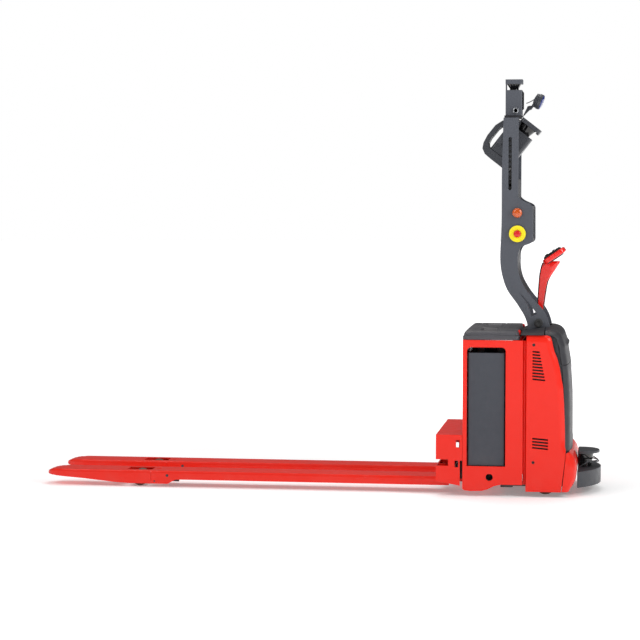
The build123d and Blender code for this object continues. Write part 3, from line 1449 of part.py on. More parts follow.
def tiller_loop():
    """Red hand guard: a flat loop on each side of the head."""
    plate = Pos(2, 0, -3) * Box(128, 2 * LOOP_Y, 26)
    plate = fillet(plate.edges().filter_by(Axis.Z), 30)
    plate = fillet(plate.edges().filter_by(Axis.X), 8)
    plate -= Box(HEAD_LENGTH, 2 * HEAD_Y, 60)
    plate -= Pos(HEAD_LENGTH / 2, 0, -2) * Rot(0, 90, 0) * Cylinder(11 + 4 * GAP, 60)
    for s in (-1, 1):
        hole = Pos(2, s * (HEAD_Y + 22), 0) * Box(84, 44, 60)
        plate -= hole
    return head_frame() * plate


def throttle_wing():
    """Butterfly throttle: an axle through the head with a wing at each end."""
    wing = Rot(90, 0, 0) * Cylinder(6, 2 * HEAD_Y + 2)
    for s in (-1, 1):
        lobe = Pos(0, s * (HEAD_Y + 18), 0) * Box(40, 30, 12)
        wing += fillet(lobe.edges().filter_by(Axis.Z), 8)
        wing += Pos(0, s * (HEAD_Y + 2), 0) * Rot(90, 0, 0) * Cylinder(6, 4)
    return head_frame() * wing


# ================================================================ write every piece
def front_covers():
    """Lower and upper moulding of the dark front cover."""
    lower = front_cover(FOOT_Z, PARTING_Z - GAP)
    return group(lower, front_cover(PARTING_Z, COVER_TOP + 60))


def both_forks(shape):
    """One copy of a shape in each fork."""
    return group(Pos(0, -FORK_Y, 0) * shape, Pos(0, FORK_Y, 0) * shape)


SINGLES = {
    "load_arms": lambda: both_forks(load_arm()),
    "push_rods": lambda: both_forks(push_rod()),
    "rocker_shaft": rocker_shaft,
    "fork_carriage": fork_carriage,
    "battery_box": lambda: group(battery_box(), lid_hinges()),
    "battery_rollers": battery_rollers,
    "battery_pack": battery_pack,
    "battery_lid": battery_lid,
    "lift_rods": lift_rods,
    "lift_cylinders": lift_cylinders,
    "lower_bumper": lower_bumper,
    "front_cover": front_covers,
    "console_cover": console_cover,
    "drive_frame": drive_frame,
    "steer_pinion": steer_pinion,
    "steer_motor": steer_motor,
    "drive_unit": drive_unit,
    "drive_wheel": drive_wheel,
    "hydraulic_unit": hydraulic_unit,
    "electronics": electronics,
    "cover_bolts": cover_bolts,
    "mast_plates": mast_plates,
    "mast_webs": mast_webs,
    "display_screen": display_screen,
    "amber_lamps": amber_lamps,
    "estop_collars": estop_collars,
    "nav_body": nav_body,
    "nav_rotor": nav_rotor,
    "nav_optic": nav_optic,
    "nav_cap": nav_cap,
    "nav_button": lambda: nav_button(-1),
    "spot_lamp": spot_lamp,
    "spot_lens": spot_lens,
    "lamp_bracket": lamp_bracket,
    "tilt_scanner_body": tilt_scanner_body,
    "tilt_scanner_optic": tilt_scanner_optic,
    "tilt_scanner_guard": tilt_scanner_guard,
    "front_scanner_skirt": front_scanner_skirt,
    "front_scanner_body": front_scanner_body,
    "front_scanner_cap": front_scanner_cap,
    "tiller_base": tiller_base,
    "tiller_arm": tiller_arm,
    "tiller_shell": tiller_shell,
    "throttle_wing": throttle_wing,
    "belly_button": belly_button,
}


def save_all():
    """Builds and writes each node."""
    for name, s in SIDES.items():
        y = s * FORK_Y
        save(f"fork_{name}", Pos(0, y, 0) * fork())
        save(f"load_roller_{name}", Pos(0, y, 0) * load_roller())
        save(f"side_cover_{name}", side_cover(s))
        save(f"caster_fork_{name}", caster_fork(s))
        save(f"caster_wheel_{name}", caster_wheel(s))
        save(f"estop_button_{name}", estop_button(s))
    for name in BUTTONS:
        save(name, head_button(name))
    for name, make in SINGLES.items():
        save(name, make())


save_all()
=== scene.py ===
"""Electric pallet truck with a sensor mast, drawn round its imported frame.

Sizes inside the classes are in millimetres in the truck's working frame: X is 0 at the rear
face of the fork carriage and grows towards the tiller, Y runs across and Z up from the floor.
"""

from __future__ import annotations

import logging
import math
from dataclasses import dataclass
from enum import Enum
from typing import Callable, Iterable, Sequence

import bpy
import numpy as np
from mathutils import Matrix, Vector
from mathutils.geometry import delaunay_2d_cdt


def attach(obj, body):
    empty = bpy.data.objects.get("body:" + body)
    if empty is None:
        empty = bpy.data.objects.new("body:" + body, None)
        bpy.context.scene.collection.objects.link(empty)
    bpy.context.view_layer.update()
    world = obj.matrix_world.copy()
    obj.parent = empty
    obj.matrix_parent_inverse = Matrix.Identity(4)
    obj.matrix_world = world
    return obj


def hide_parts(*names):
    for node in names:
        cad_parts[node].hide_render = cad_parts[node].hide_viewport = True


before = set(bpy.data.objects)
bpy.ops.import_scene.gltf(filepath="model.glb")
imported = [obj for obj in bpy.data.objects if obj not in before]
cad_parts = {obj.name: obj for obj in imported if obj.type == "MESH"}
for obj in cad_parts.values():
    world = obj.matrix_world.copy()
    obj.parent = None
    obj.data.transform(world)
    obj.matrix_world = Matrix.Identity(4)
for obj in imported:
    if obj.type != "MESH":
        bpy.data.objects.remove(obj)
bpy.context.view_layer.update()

LOG = logging.getLogger("pallet_truck")
MM = 0.001
FACE_X = 612.0
Array = np.ndarray
Colour = tuple[float, float, float]


def linear(red: int, green: int, blue: int) -> Colour:
    """Scene-linear colour of an 8-bit display colour.

    Args:
        red: Red, 0 to 255.
        green: Green, 0 to 255.
        blue: Blue, 0 to 255.

    Returns:
        The three linear values.
    """
    c = np.array([red, green, blue]) / 255.0
    c = np.where(c <= 0.04045, c / 12.92, ((c + 0.055) / 1.055) ** 2.4)
    return (float(c[0]), float(c[1]), float(c[2]))


# ------------------------------------------------------------------ outlines and curves


def rounded(corners: Sequence[tuple[float, float]], radius: float | Sequence[float], steps: int = 6) -> Array:
    """Closed outline with round corners.

    Each corner is cut back by t = r * tan(turn / 2) along both sides, and an arc about the point
    on the corner's bisector joins the two cuts.

    Args:
        corners: Corner points in order.
        radius: One radius for all, or one for each corner.
        steps: Points on each arc, less one.

    Returns:
        Points of the outline, shape (corners * (steps + 1), 2).
    """
    p = np.asarray(corners, float)
    r = np.broadcast_to(np.asarray(radius, float), (len(p),)).copy()
    back = np.roll(p, 1, 0) - p
    ahead = np.roll(p, -1, 0) - p
    lb = np.linalg.norm(back, axis=1)
    la = np.linalg.norm(ahead, axis=1)
    ub = back / lb[:, None]
    ua = ahead / la[:, None]
    inner = np.arccos(np.clip((ub * ua).sum(1), -1, 1))
    tangent = np.tan(inner / 2)
    cut = np.minimum(r / np.maximum(tangent, 1e-6), 0.48 * np.minimum(lb, la))
    a = p + ub * cut[:, None]
    b = p + ua * cut[:, None]
    t = np.linspace(0, 1, steps + 1)[None, :, None]
    q = (1 - t) ** 2 * a[:, None] + 2 * t * (1 - t) * p[:, None] + t**2 * b[:, None]
    return q.reshape(-1, 2)


def circle(x: float, z: float, r: float, count: int = 28) -> Array:
    """Points x + r cos a, z + r sin a of a circle, for count even angles."""
    a = np.linspace(0, 2 * math.pi, count, endpoint=False)
    return np.stack([x + r * np.cos(a), z + r * np.sin(a)], 1)


def bar(x0: float, x1: float, z0: float, z1: float, r: float = 1.5, slope: float = 0.0) -> Array:
    """Rounded slot between two corners, its right end lower by slope times its length."""
    drop = (x1 - x0) * slope
    return rounded([(x0, z0), (x1, z0 - drop), (x1, z1 - drop), (x0, z1)], r, 3)


def resample(points: Array, step: float, closed: bool = True) -> Array:
    """The same polyline with points about a step apart along its length.

    Args:
        points: Points, shape (n, k).
        step: Wanted spacing.
        closed: Whether the last point joins the first.

    Returns:
        New points along the line; the corners of a closed line are kept where they are sharp.
    """
    p = np.vstack([points, points[:1]]) if closed else np.asarray(points, float)
    seg = np.linalg.norm(np.diff(p, axis=0), axis=1)
    keep = np.concatenate([[True], seg > 1e-6])
    p = p[keep]
    seg = seg[seg > 1e-6]
    pieces = np.maximum(1, np.ceil(seg / step)).astype(int)
    start = np.repeat(np.arange(len(seg)), pieces)
    inside = np.concatenate([np.arange(k) / k for k in pieces])
    q = p[start] + (p[start + 1] - p[start]) * inside[:, None]
    return q if closed else np.vstack([q, p[-1:]])


def spline(points: Sequence[Sequence[float]], count: int) -> Array:
    """Smooth open curve through points: a Catmull-Rom spline, evenly spaced along its length.

    Args:
        points: Points to pass through, shape (n, k).
        count: Number of points wanted.

    Returns:
        Curve points, shape (count, k).
    """
    p = np.asarray(points, float)
    q = np.vstack([2 * p[0] - p[1], p, 2 * p[-1] - p[-2]])
    n = len(p) - 1
    u = np.linspace(0, n, 40 * n + 1)
    k = np.minimum(u.astype(int), n - 1)
    t = (u - k)[:, None]
    a, b, c, d = q[k], q[k + 1], q[k + 2], q[k + 3]
    s = 0.5 * (2 * b + (c - a) * t + (2 * a - 5 * b + 4 * c - d) * t**2 + (3 * b - a - 3 * c + d) * t**3)
    length = np.concatenate([[0], np.cumsum(np.linalg.norm(np.diff(s, axis=0), axis=1))])
    want = np.linspace(0, length[-1], count)
    return np.stack([np.interp(want, length, s[:, i]) for i in range(s.shape[1])], 1)


def edge_distance(points: Array, line: Array, closed: bool = True) -> Array:
    """Distance from each point to the nearest place on a polyline.

    Args:
        points: Points, shape (n, 2).
        line: Polyline, shape (m, 2).
        closed: Whether the line closes.

    Returns:
        Distances, shape (n,).
    """
    a = line
    b = np.roll(line, -1, 0)
    if not closed:
        a, b = a[:-1], b[:-1]
    ab = b - a
    size = np.maximum((ab**2).sum(1), 1e-9)
    best = np.full(len(points), 1e9)
    for start in range(0, len(points), 4000):
        p = points[start : start + 4000]
        t = np.clip(((p[:, None] - a[None]) * ab[None]).sum(2) / size[None], 0, 1)
        gap = p[:, None] - (a[None] + t[..., None] * ab[None])
        best[start : start + 4000] = np.sqrt((gap**2).sum(2)).min(1)
    return best


def inside(points: Array, line: Array) -> Array:
    """True for each point inside a closed line, by the even and odd rule.

    Args:
        points: Points, one X and Y per row.
        line: Corners of the closed line.

    Returns:
        One truth value per point.
    """
    x, y = points[:, 0, None], points[:, 1, None]
    ax, ay = line[:, 0][None], line[:, 1][None]
    bx, by = np.roll(line[:, 0], -1)[None], np.roll(line[:, 1], -1)[None]
    span = (ay > y) != (by > y)
    with np.errstate(divide="ignore", invalid="ignore"):
        cross = (bx - ax) * (y - ay) / (by - ay) + ax
    return (np.where(span, x < cross, False).sum(1) % 2) == 1


def step_up(x: Array, low: float, high: float) -> Array:
    """Smooth rise from 0 at low to 1 at high."""
    t = np.clip((x - low) / (high - low), 0, 1)
    return t * t * (3 - 2 * t)


# ------------------------------------------------------------------ meshes


def place(points: Array) -> Array:
    """Working millimetres to metres in the truck's own frame."""
    return (points + np.array([FACE_X, 0.0, 0.0])) * MM


def mesh_piece(
    name: str, points: Array, faces: Sequence[Sequence[int]], rim: Array | None = None
) -> bpy.types.Object:
    """Makes an object from working points and faces, with smooth shading and outward faces.

    Args:
        name: Piece name.
        points: Points in working millimetres, shape (n, 3).
        faces: Vertex numbers of each face.
        rim: Optional closeness to an edge of each point, 0 to 1, kept as an attribute.

    Returns:
        The new object, in the scene.
    """
    mesh = bpy.data.meshes.new(name)
    mesh.from_pydata(place(np.asarray(points, float)).tolist(), [], [list(f) for f in faces])
    mesh.validate()
    if rim is not None and len(mesh.vertices) == len(rim):
        mesh.attributes.new("rim", "FLOAT", "POINT").data.foreach_set("value", np.asarray(rim, np.float32))
    mesh.polygons.foreach_set("use_smooth", np.ones(len(mesh.polygons), bool))
    piece = bpy.data.objects.new(name, mesh)
    bpy.context.scene.collection.objects.link(piece)
    turn_outwards(mesh)
    return piece


def turn_outwards(mesh: bpy.types.Mesh) -> None:
    """Turns every face outwards if the mesh's signed volume is negative.

    Args:
        mesh: The closed mesh to turn, changed in place.
    """
    mesh.calc_loop_triangles()
    tri = np.zeros(len(mesh.loop_triangles) * 3, np.int64)
    mesh.loop_triangles.foreach_get("vertices", tri)
    co = np.zeros(len(mesh.vertices) * 3)
    mesh.vertices.foreach_get("co", co)
    p = co.reshape(-1, 3)[tri.reshape(-1, 3)]
    volume = np.einsum("ij,ij->i", p[:, 0], np.cross(p[:, 1], p[:, 2])).sum()
    if volume < 0:
        mesh.flip_normals()


def grid_faces(rows: int, cols: int, closed_rows: bool = False, closed_cols: bool = False) -> Array:
    """Quads of a grid of rows by cols points, wrapped round where asked.

    Args:
        rows: Number of rows.
        cols: Points in a row.
        closed_rows: Whether the last row joins the first.
        closed_cols: Whether the last point of a row joins its first.

    Returns:
        Faces, shape (n, 4).
    """
    i, j = np.meshgrid(
        np.arange(
            rows if closed_rows else rows - 1
        ), np.arange(cols if closed_cols else cols - 1), indexing="ij"
    )
    i, j = i.ravel(), j.ravel()
    k, m = (i + 1) % rows, (j + 1) % cols
    return np.stack([i * cols + j, i * cols + m, k * cols + m, k * cols + j], 1)


def skin(name: str, sections: Array) -> bpy.types.Object:
    """Closed skin through closed sections, each end shut by a face.

    Args:
        name: Piece name.
        sections: Points, shape (sections, points, 3), in order along the piece.

    Returns:
        The new object.
    """
    rows, cols = sections.shape[:2]
    faces = grid_faces(rows, cols, closed_cols=True).tolist()
    faces.append(list(range(cols))[::-1])
    faces.append(list(range((rows - 1) * cols, rows * cols)))
    return mesh_piece(name, sections.reshape(-1, 3), faces)


def lathe(
    name: str,
    profile: Sequence[tuple[float, float]],
    at: Sequence[float],
    axis: Sequence[float],
    count: int = 64,
    squash: Callable[[Array], Array] | None = None,
) -> bpy.types.Object:
    """Turned piece: a profile of (radius, height) pairs spun about an axis.

    A point at angle a is at + h * axis + r * (cos a * side + sin a * up).

    Args:
        name: Piece name.
        profile: Radius and height along the axis; an end at radius 0 closes in a pole.
        at: Where height 0 is.
        axis: Direction of the axis.
        count: Points round.
        squash: Optional factor on the radius as a function of the angle.

    Returns:
        The new object.
    """
    p = np.asarray(profile, float)
    n = np.asarray(axis, float) / np.linalg.norm(axis)
    side = np.cross(n, [0.0, 1.0, 0.0] if abs(n[1]) < 0.9 else [0.0, 0.0, 1.0])
    side /= np.linalg.norm(side)
    up = np.cross(n, side)
    a = np.linspace(0, 2 * math.pi, count, endpoint=False)
    spokes = np.cos(a)[:, None] * side + np.sin(a)[:, None] * up
    if squash is not None:
        spokes = spokes * squash(a)[:, None]
    pole_low, pole_high = p[0, 0] < 1e-6, p[-1, 0] < 1e-6
    body = p[(1 if pole_low else 0) : (len(p) - 1 if pole_high else len(p))]
    points = np.asarray(at, float) + body[:, 1, None, None] * n + body[:, 0, None, None] * spokes[None]
    rows = len(body)
    points = points.reshape(-1, 3)
    faces = grid_faces(rows, count, closed_cols=True).tolist()
    ring = np.arange(count)
    for is_pole, pole, base, flip in (
        (pole_low, p[0], 0, True), (pole_high, p[-1], (rows - 1) * count, False)
    ):
        if is_pole:
            tip = len(points)
            points = np.vstack([points, np.asarray(at, float) + pole[1] * n])
            fan = np.stack([base + ring, base + (ring + 1) % count, np.full(count, tip)], 1)
            faces += (fan[:, ::-1] if flip else fan).tolist()
        else:
            cap = (base + ring).tolist()
            faces.append(cap[::-1] if flip else cap)
    return mesh_piece(name, points, faces)


def tube(
    name: str, path: Array, radius: float | Array, count: int = 12, flat: float = 1.0
) -> bpy.types.Object:
    """Bar or tube: a circle carried along a path without twisting.

    The side vector is kept square to the path by taking away its part along each tangent in turn.

    Args:
        name: Piece name.
        path: Points, shape (n, 3).
        radius: Radius, the same all along or one for each point.
        count: Points round.
        flat: Height of the section over its width.

    Returns:
        The new object.
    """
    tangent = np.gradient(path, axis=0)
    tangent /= np.linalg.norm(tangent, axis=1)[:, None]
    start = np.array([0.0, 1.0, 0.0])
    if abs(tangent[0] @ start) > 0.9:
        start = np.array([0.0, 0.0, 1.0])
    sides = np.zeros_like(path)
    side = start
    for i, t in enumerate(tangent):
        side = side - (side @ t) * t
        side = side / np.linalg.norm(side)
        sides[i] = side
    up = np.cross(tangent, sides)
    a = np.linspace(0, 2 * math.pi, count, endpoint=False)
    r = np.broadcast_to(np.asarray(radius, float), (len(path),))[:, None, None]
    ring = np.cos(a)[None, :, None] * sides[:, None] + flat * np.sin(a)[None, :, None] * up[:, None]
    return skin(name, path[:, None] + r * ring)


def sheet_piece(
    name: str,
    outline: Array,
    surface: Callable[[Array], Array],
    wall: float,
    holes: Iterable[Array] = (),
    step: float | tuple[float, float] = 12.0,
    rim_step: float | None = None,
) -> bpy.types.Object:
    """Panel: a flat pattern with holes, laid on a surface and given a wall.

    The pattern is filled with triangles between its outline, its holes and a grid of points. The
    surface turns pattern points into the outer skin, the inner skin lies one wall along the
    surface's normal behind it, and strips of quads join the two round every edge.

    Args:
        name: Piece name.
        outline: Closed outer line of the pattern, shape (n, 2).
        surface: Turns pattern points (n, 2) into working points (n, 3).
        wall: Thickness, taken from the outer skin inwards, against du x dv.
        holes: Closed lines of the holes.
        step: Spacing of the grid, the same both ways or one for each.
        rim_step: Spacing along the edges, the smaller grid spacing if not given.

    Returns:
        The new object, with a rim attribute that is 1 at an edge and 0 from 9 mm inside it.
    """
    sx, sy = (step, step) if isinstance(step, (int, float)) else step
    rim_step = rim_step or min(sx, sy)
    lines = [resample(line, rim_step) for line in [outline, *holes]]
    low, high = outline.min(0), outline.max(0)
    u = np.arange(low[0] + sx / 2, high[0], sx)
    v = np.arange(low[1] + sy / 2, high[1], sy)
    grid = np.stack(np.meshgrid(u, v, indexing="ij"), -1).reshape(-1, 2)
    keep = inside(grid, lines[0])
    for line in lines[1:]:
        keep &= ~inside(grid, line)
    grid = grid[keep]
    for line in lines:
        grid = grid[edge_distance(grid, line) > 0.45 * min(sx, sy)]
    points = np.vstack([*lines, grid])
    edges, base = [], 0
    for line in lines:
        k = np.arange(len(line))
        edges += np.stack([base + k, base + (k + 1) % len(line)], 1).tolist()
        base += len(line)
    found, _, tri, _, _, _ = delaunay_2d_cdt(points.tolist(), edges, [], 0, 1e-5, False)
    flat = np.array([tuple(f) for f in found], float)
    tri = np.array([t for t in tri if len(t) == 3])
    middle = flat[tri].mean(1)
    keep = inside(middle, lines[0])
    for line in lines[1:]:
        keep &= ~inside(middle, line)
    tri = tri[keep]
    a, b, c = flat[tri[:, 0]], flat[tri[:, 1]], flat[tri[:, 2]]
    turn = (b[:, 0] - a[:, 0]) * (c[:, 1] - a[:, 1]) - (b[:, 1] - a[:, 1]) * (c[:, 0] - a[:, 0])
    tri = np.where((turn < 0)[:, None], tri[:, ::-1], tri)
    outer = surface(flat)
    tiny = 0.05
    du = surface(flat + [tiny, 0]) - surface(flat - [tiny, 0])
    dv = surface(flat + [0, tiny]) - surface(flat - [0, tiny])
    normal = np.cross(du, dv)
    normal /= np.maximum(np.linalg.norm(normal, axis=1), 1e-9)[:, None]
    inner = outer - wall * normal
    n = len(flat)
    pairs = np.vstack([tri[:, [0, 1]], tri[:, [1, 2]], tri[:, [2, 0]]])
    code = pairs[:, 0] * n + pairs[:, 1]
    border = pairs[~np.isin(code, pairs[:, 1] * n + pairs[:, 0])]
    walls = np.stack([border[:, 1], border[:, 0], border[:, 0] + n, border[:, 1] + n], 1)
    faces = tri.tolist() + (tri[:, ::-1] + n).tolist() + walls.tolist()
    near = np.minimum.reduce([edge_distance(flat, line) for line in lines])
    rim = np.clip(1 - near / 9.0, 0, 1)
    return mesh_piece(name, np.vstack([outer, inner]), faces, np.concatenate([rim, rim]))


def join(name: str, pieces: Sequence[bpy.types.Object]) -> bpy.types.Object:
    """Puts several pieces of one finish in one object.

    Args:
        name: Name of the joined piece.
        pieces: Objects without modifiers.

    Returns:
        The joined object.
    """
    points, faces, rims, base = [], [], [], 0
    for piece in pieces:
        mesh = piece.data
        co = np.zeros(len(mesh.vertices) * 3)
        mesh.vertices.foreach_get("co", co)
        points.append(co.reshape(-1, 3))
        faces += [[base + v for v in polygon.vertices] for polygon in mesh.polygons]
        value = np.zeros(len(mesh.vertices), np.float32)
        if "rim" in mesh.attributes:
            mesh.attributes["rim"].data.foreach_get("value", value)
        rims.append(value)
        base += len(mesh.vertices)
        bpy.data.objects.remove(piece)
        bpy.data.meshes.remove(mesh)
    whole = np.vstack(points) / MM - np.array([FACE_X, 0.0, 0.0])
    return mesh_piece(name, whole, faces, np.concatenate(rims))


def soften(
    piece: bpy.types.Object, width: float, segments: int = 2, angle: float = 40.0, weld: bool = False
) -> None:
    """Rounds a piece's sharp edges and keeps its flat faces flat in the light.

    Args:
        piece: The piece or CAD node.
        width: Width of the rounding in millimetres, or 0 for none.
        segments: Steps across the rounding.
        angle: Edges that turn more than this many degrees are rounded.
        weld: Whether loose triangles are joined first, as a CAD node's are.
    """
    if weld:
        piece.modifiers.new("join", "WELD").merge_threshold = 2e-6
    if width > 0:
        bevel = piece.modifiers.new("edges", "BEVEL")
        bevel.width = width * MM
        bevel.segments = segments
        bevel.limit_method = "ANGLE"
        bevel.angle_limit = math.radians(angle)
        bevel.use_clamp_overlap = False
        bevel.harden_normals = False
    normals = piece.modifiers.new("light", "WEIGHTED_NORMAL")
    normals.keep_sharp = True
    normals.weight = 80


# ------------------------------------------------------------------ shader groups and finishes


class Graph:
    """A node tree with short ways to add nodes and join them."""

    def __init__(self, tree: bpy.types.NodeTree) -> None:
        """Keeps the tree.

        Args:
            tree: The material's or group's node tree.
        """
        self.tree = tree

    def add(self, kind: str, values: dict | None = None, **settings: object) -> bpy.types.Node:
        """Adds a node.

        Args:
            kind: Node type.
            values: Input values or output sockets to join, by input name or number.
            settings: Properties of the node.

        Returns:
            The node.
        """
        node = self.tree.nodes.new(kind)
        for key, value in settings.items():
            setattr(node, key, value)
        for key, value in (values or {}).items():
            if isinstance(value, bpy.types.NodeSocket):
                self.tree.links.new(value, node.inputs[key])
            else:
                node.inputs[key].default_value = value
        return node

    def noise(
        self, vector: bpy.types.NodeSocket, scale: float, detail: float = 3.0, rough: float = 0.5
    ) -> bpy.types.NodeSocket:
        """Noise value at a vector, 0 to 1."""
        values = {"Vector": vector, "Scale": scale, "Detail": detail, "Roughness": rough}
        return self.add("ShaderNodeTexNoise", values).outputs["Fac"]

    def math(self, operation: str, a: object, b: object = 0.0, clamp: bool = False) -> bpy.types.NodeSocket:
        """Result of one sum on two values or sockets."""
        return self.add("ShaderNodeMath", {0: a, 1: b}, operation=operation, use_clamp=clamp).outputs[0]

    def spread(
        self, value: object, low: float, high: float, to_low: float = 0.0, to_high: float = 1.0
    ) -> bpy.types.NodeSocket:
        """Maps low..high to to_low..to_high, held at the ends."""
        values = {"Value": value, "From Min": low, "From Max": high, "To Min": to_low, "To Max": to_high}
        return self.add("ShaderNodeMapRange", values, clamp=True).outputs["Result"]

    def blend(self, factor: object, a: object, b: object, kind: str = "MIX") -> bpy.types.NodeSocket:
        """Mixes two colours.

        Args:
            factor: Share of b, 0 to 1.
            a: First colour.
            b: Second colour.
            kind: Blend type of the mix node.

        Returns:
            The mixed colour.
        """
        node = self.add("ShaderNodeMix", data_type="RGBA", blend_type=kind)
        for socket, value in ((node.inputs[0], factor), (node.inputs[6], a), (node.inputs[7], b)):
            if isinstance(value, bpy.types.NodeSocket):
                self.tree.links.new(value, socket)
            else:
                socket.default_value = value
        return node.outputs[2]


def new_group(
    name: str, inputs: Sequence[tuple[str, str, float]], outputs: Sequence[tuple[str, str]]
) -> tuple[Graph, bpy.types.Node, bpy.types.Node]:
    """Starts a shader node group.

    Args:
        name: Group name.
        inputs: Name, socket type and default of each input.
        outputs: Name and socket type of each output.

    Returns:
        The group's graph, its input node and its output node.
    """
    tree = bpy.data.node_groups.new(name, "ShaderNodeTree")
    for label, kind, default in inputs:
        socket = tree.interface.new_socket(name=label, in_out="INPUT", socket_type=kind)
        if kind == "NodeSocketFloat":
            socket.default_value = default
    for label, kind in outputs:
        tree.interface.new_socket(name=label, in_out="OUTPUT", socket_type=kind)
    graph = Graph(tree)
    return graph, graph.add("NodeGroupInput"), graph.add("NodeGroupOutput")


FLOAT = "NodeSocketFloat"
VECTOR = "NodeSocketVector"


def mottle_group() -> bpy.types.NodeTree:
    """Slow change of shade over a surface: two noises of different size, centred on 1.

    Returns:
        The node group, with one value out.
    """
    graph, source, sink = new_group(
        "mottle", [("Vector", VECTOR, 0), ("Scale", FLOAT, 4.0), ("Amount", FLOAT, 0.1)], [("Shade", FLOAT)]
    )
    wide = graph.add(
        "ShaderNodeTexNoise", {"Vector": source.outputs[0], "Scale": source.outputs[1], "Detail": 3.0}
    )
    fine_scale = graph.math("MULTIPLY", source.outputs[1], 14.0)
    fine = graph.add("ShaderNodeTexNoise", {"Vector": source.outputs[0], "Scale": fine_scale, "Detail": 2.0})
    both = graph.math(
        "ADD", graph.math("MULTIPLY", wide.outputs[0], 0.7), graph.math("MULTIPLY", fine.outputs[0], 0.3)
    )
    swing = graph.math("MULTIPLY", graph.math("SUBTRACT", both, 0.5), source.outputs[2])
    graph.tree.links.new(graph.math("ADD", swing, 1.0), sink.inputs[0])
    return graph.tree


def dust_group() -> bpy.types.NodeTree:
    """Dust mask: more on faces that look up and near the floor, broken up by noise.

    Returns:
        The node group, with one mask out.
    """
    graph, source, sink = new_group(
        "dust", [("Vector", VECTOR, 0), ("Amount", FLOAT, 0.3)], [("Mask", FLOAT)]
    )
    geometry = graph.add("ShaderNodeNewGeometry")
    up = graph.add("ShaderNodeSeparateXYZ", {0: geometry.outputs["Normal"]}).outputs[2]
    height = graph.add("ShaderNodeSeparateXYZ", {0: source.outputs[0]}).outputs[2]
    lying = graph.spread(up, 0.5, 1.0, 0.0, 0.6)
    low = graph.spread(height, 0.0, 0.3, 0.7, 0.0)
    patches = graph.spread(graph.noise(source.outputs[0], 9.0, 6.0, 0.6), 0.42, 0.7)
    total = graph.math("MULTIPLY", graph.math("MAXIMUM", lying, low), patches)
    graph.tree.links.new(graph.math("MULTIPLY", total, source.outputs[1], True), sink.inputs[0])
    return graph.tree


def scuff_group() -> bpy.types.NodeTree:
    """Scuff mask: thin streaks along one axis where a stretched noise is high, gathered in patches.

    Returns:
        The node group, with one mask out.
    """
    graph, source, sink = new_group(
        "scuffs", [("Vector", VECTOR, 0), ("Amount", FLOAT, 0.3), ("Stretch", FLOAT, 12.0)], [("Mask", FLOAT)]
    )
    parts = graph.add("ShaderNodeSeparateXYZ", {0: source.outputs[0]})
    long = graph.math("DIVIDE", parts.outputs[0], source.outputs[2])
    drawn = graph.add("ShaderNodeCombineXYZ", {0: long, 1: parts.outputs[1], 2: parts.outputs[2]}).outputs[0]
    streaks = graph.spread(graph.noise(drawn, 260.0, 2.0, 0.4), 0.66, 0.72)
    patches = graph.spread(graph.noise(source.outputs[0], 5.0, 4.0, 0.6), 0.5, 0.68)
    graph.tree.links.new(
        graph.math(
            "MULTIPLY", graph.math("MULTIPLY", streaks, patches), source.outputs[1], True
        ), sink.inputs[0]
    )
    return graph.tree


def wear_group() -> bpy.types.NodeTree:
    """Edge wear mask: the rim attribute broken by noise, so that only spots along an edge are worn.

    Returns:
        The node group, with one mask out.
    """
    graph, source, sink = new_group(
        "edge_wear", [("Vector", VECTOR, 0), ("Amount", FLOAT, 0.3)], [("Mask", FLOAT)]
    )
    rim = graph.add("ShaderNodeAttribute", attribute_name="rim").outputs["Fac"]
    edge = graph.spread(rim, 0.80, 1.0)
    spots = graph.spread(graph.noise(source.outputs[0], 45.0, 5.0, 0.65), 0.55, 0.66)
    graph.tree.links.new(
        graph.math("MULTIPLY", graph.math("MULTIPLY", edge, spots), source.outputs[1], True),
        sink.inputs[0]
    )
    return graph.tree


def grain_group(
    name: str, build: Callable[[Graph, bpy.types.NodeSocket, bpy.types.NodeSocket], bpy.types.NodeSocket]
) -> bpy.types.NodeTree:
    """Surface grain as a height.

    Args:
        name: Group name.
        build: Makes the height socket from the graph, the vector and the scale.

    Returns:
        The group, with Vector and Scale in and Height out.
    """
    graph, source, sink = new_group(
        name, [("Vector", VECTOR, 0), ("Scale", FLOAT, 100.0)], [("Height", FLOAT)]
    )
    graph.tree.links.new(build(graph, source.outputs[0], source.outputs[1]), sink.inputs[0])
    return graph.tree


def peel_height(
    graph: Graph, vector: bpy.types.NodeSocket, scale: bpy.types.NodeSocket
) -> bpy.types.NodeSocket:
    """Sprayed paint: low round waves with a finer noise on them."""
    wave = graph.add(
        "ShaderNodeTexNoise", {"Vector": vector, "Scale": scale, "Detail": 2.0, "Roughness": 0.4}
    )
    return wave.outputs[0]


def mould_height(
    graph: Graph, vector: bpy.types.NodeSocket, scale: bpy.types.NodeSocket
) -> bpy.types.NodeSocket:
    """Moulded plastic: leather-like cells with rounded tops and a fine noise.

    Args:
        graph: Node tree to add to.
        vector: Place on the piece.
        scale: Cells per metre.

    Returns:
        The height for a bump.
    """
    cells = graph.add("ShaderNodeTexVoronoi", {"Vector": vector, "Scale": scale}, feature="SMOOTH_F1")
    fine = graph.add("ShaderNodeTexNoise", {"Vector": vector, "Scale": scale, "Detail": 3.0})
    return graph.math(
        "ADD", graph.math("MULTIPLY", cells.outputs[0], 0.7), graph.math("MULTIPLY", fine.outputs[0], 0.5)
    )


def powder_height(
    graph: Graph, vector: bpy.types.NodeSocket, scale: bpy.types.NodeSocket
) -> bpy.types.NodeSocket:
    """Powder coat: one tight noise with fine detail."""
    coarse = graph.add(
        "ShaderNodeTexNoise", {"Vector": vector, "Scale": scale, "Detail": 5.0, "Roughness": 0.7}
    )
    return coarse.outputs[0]


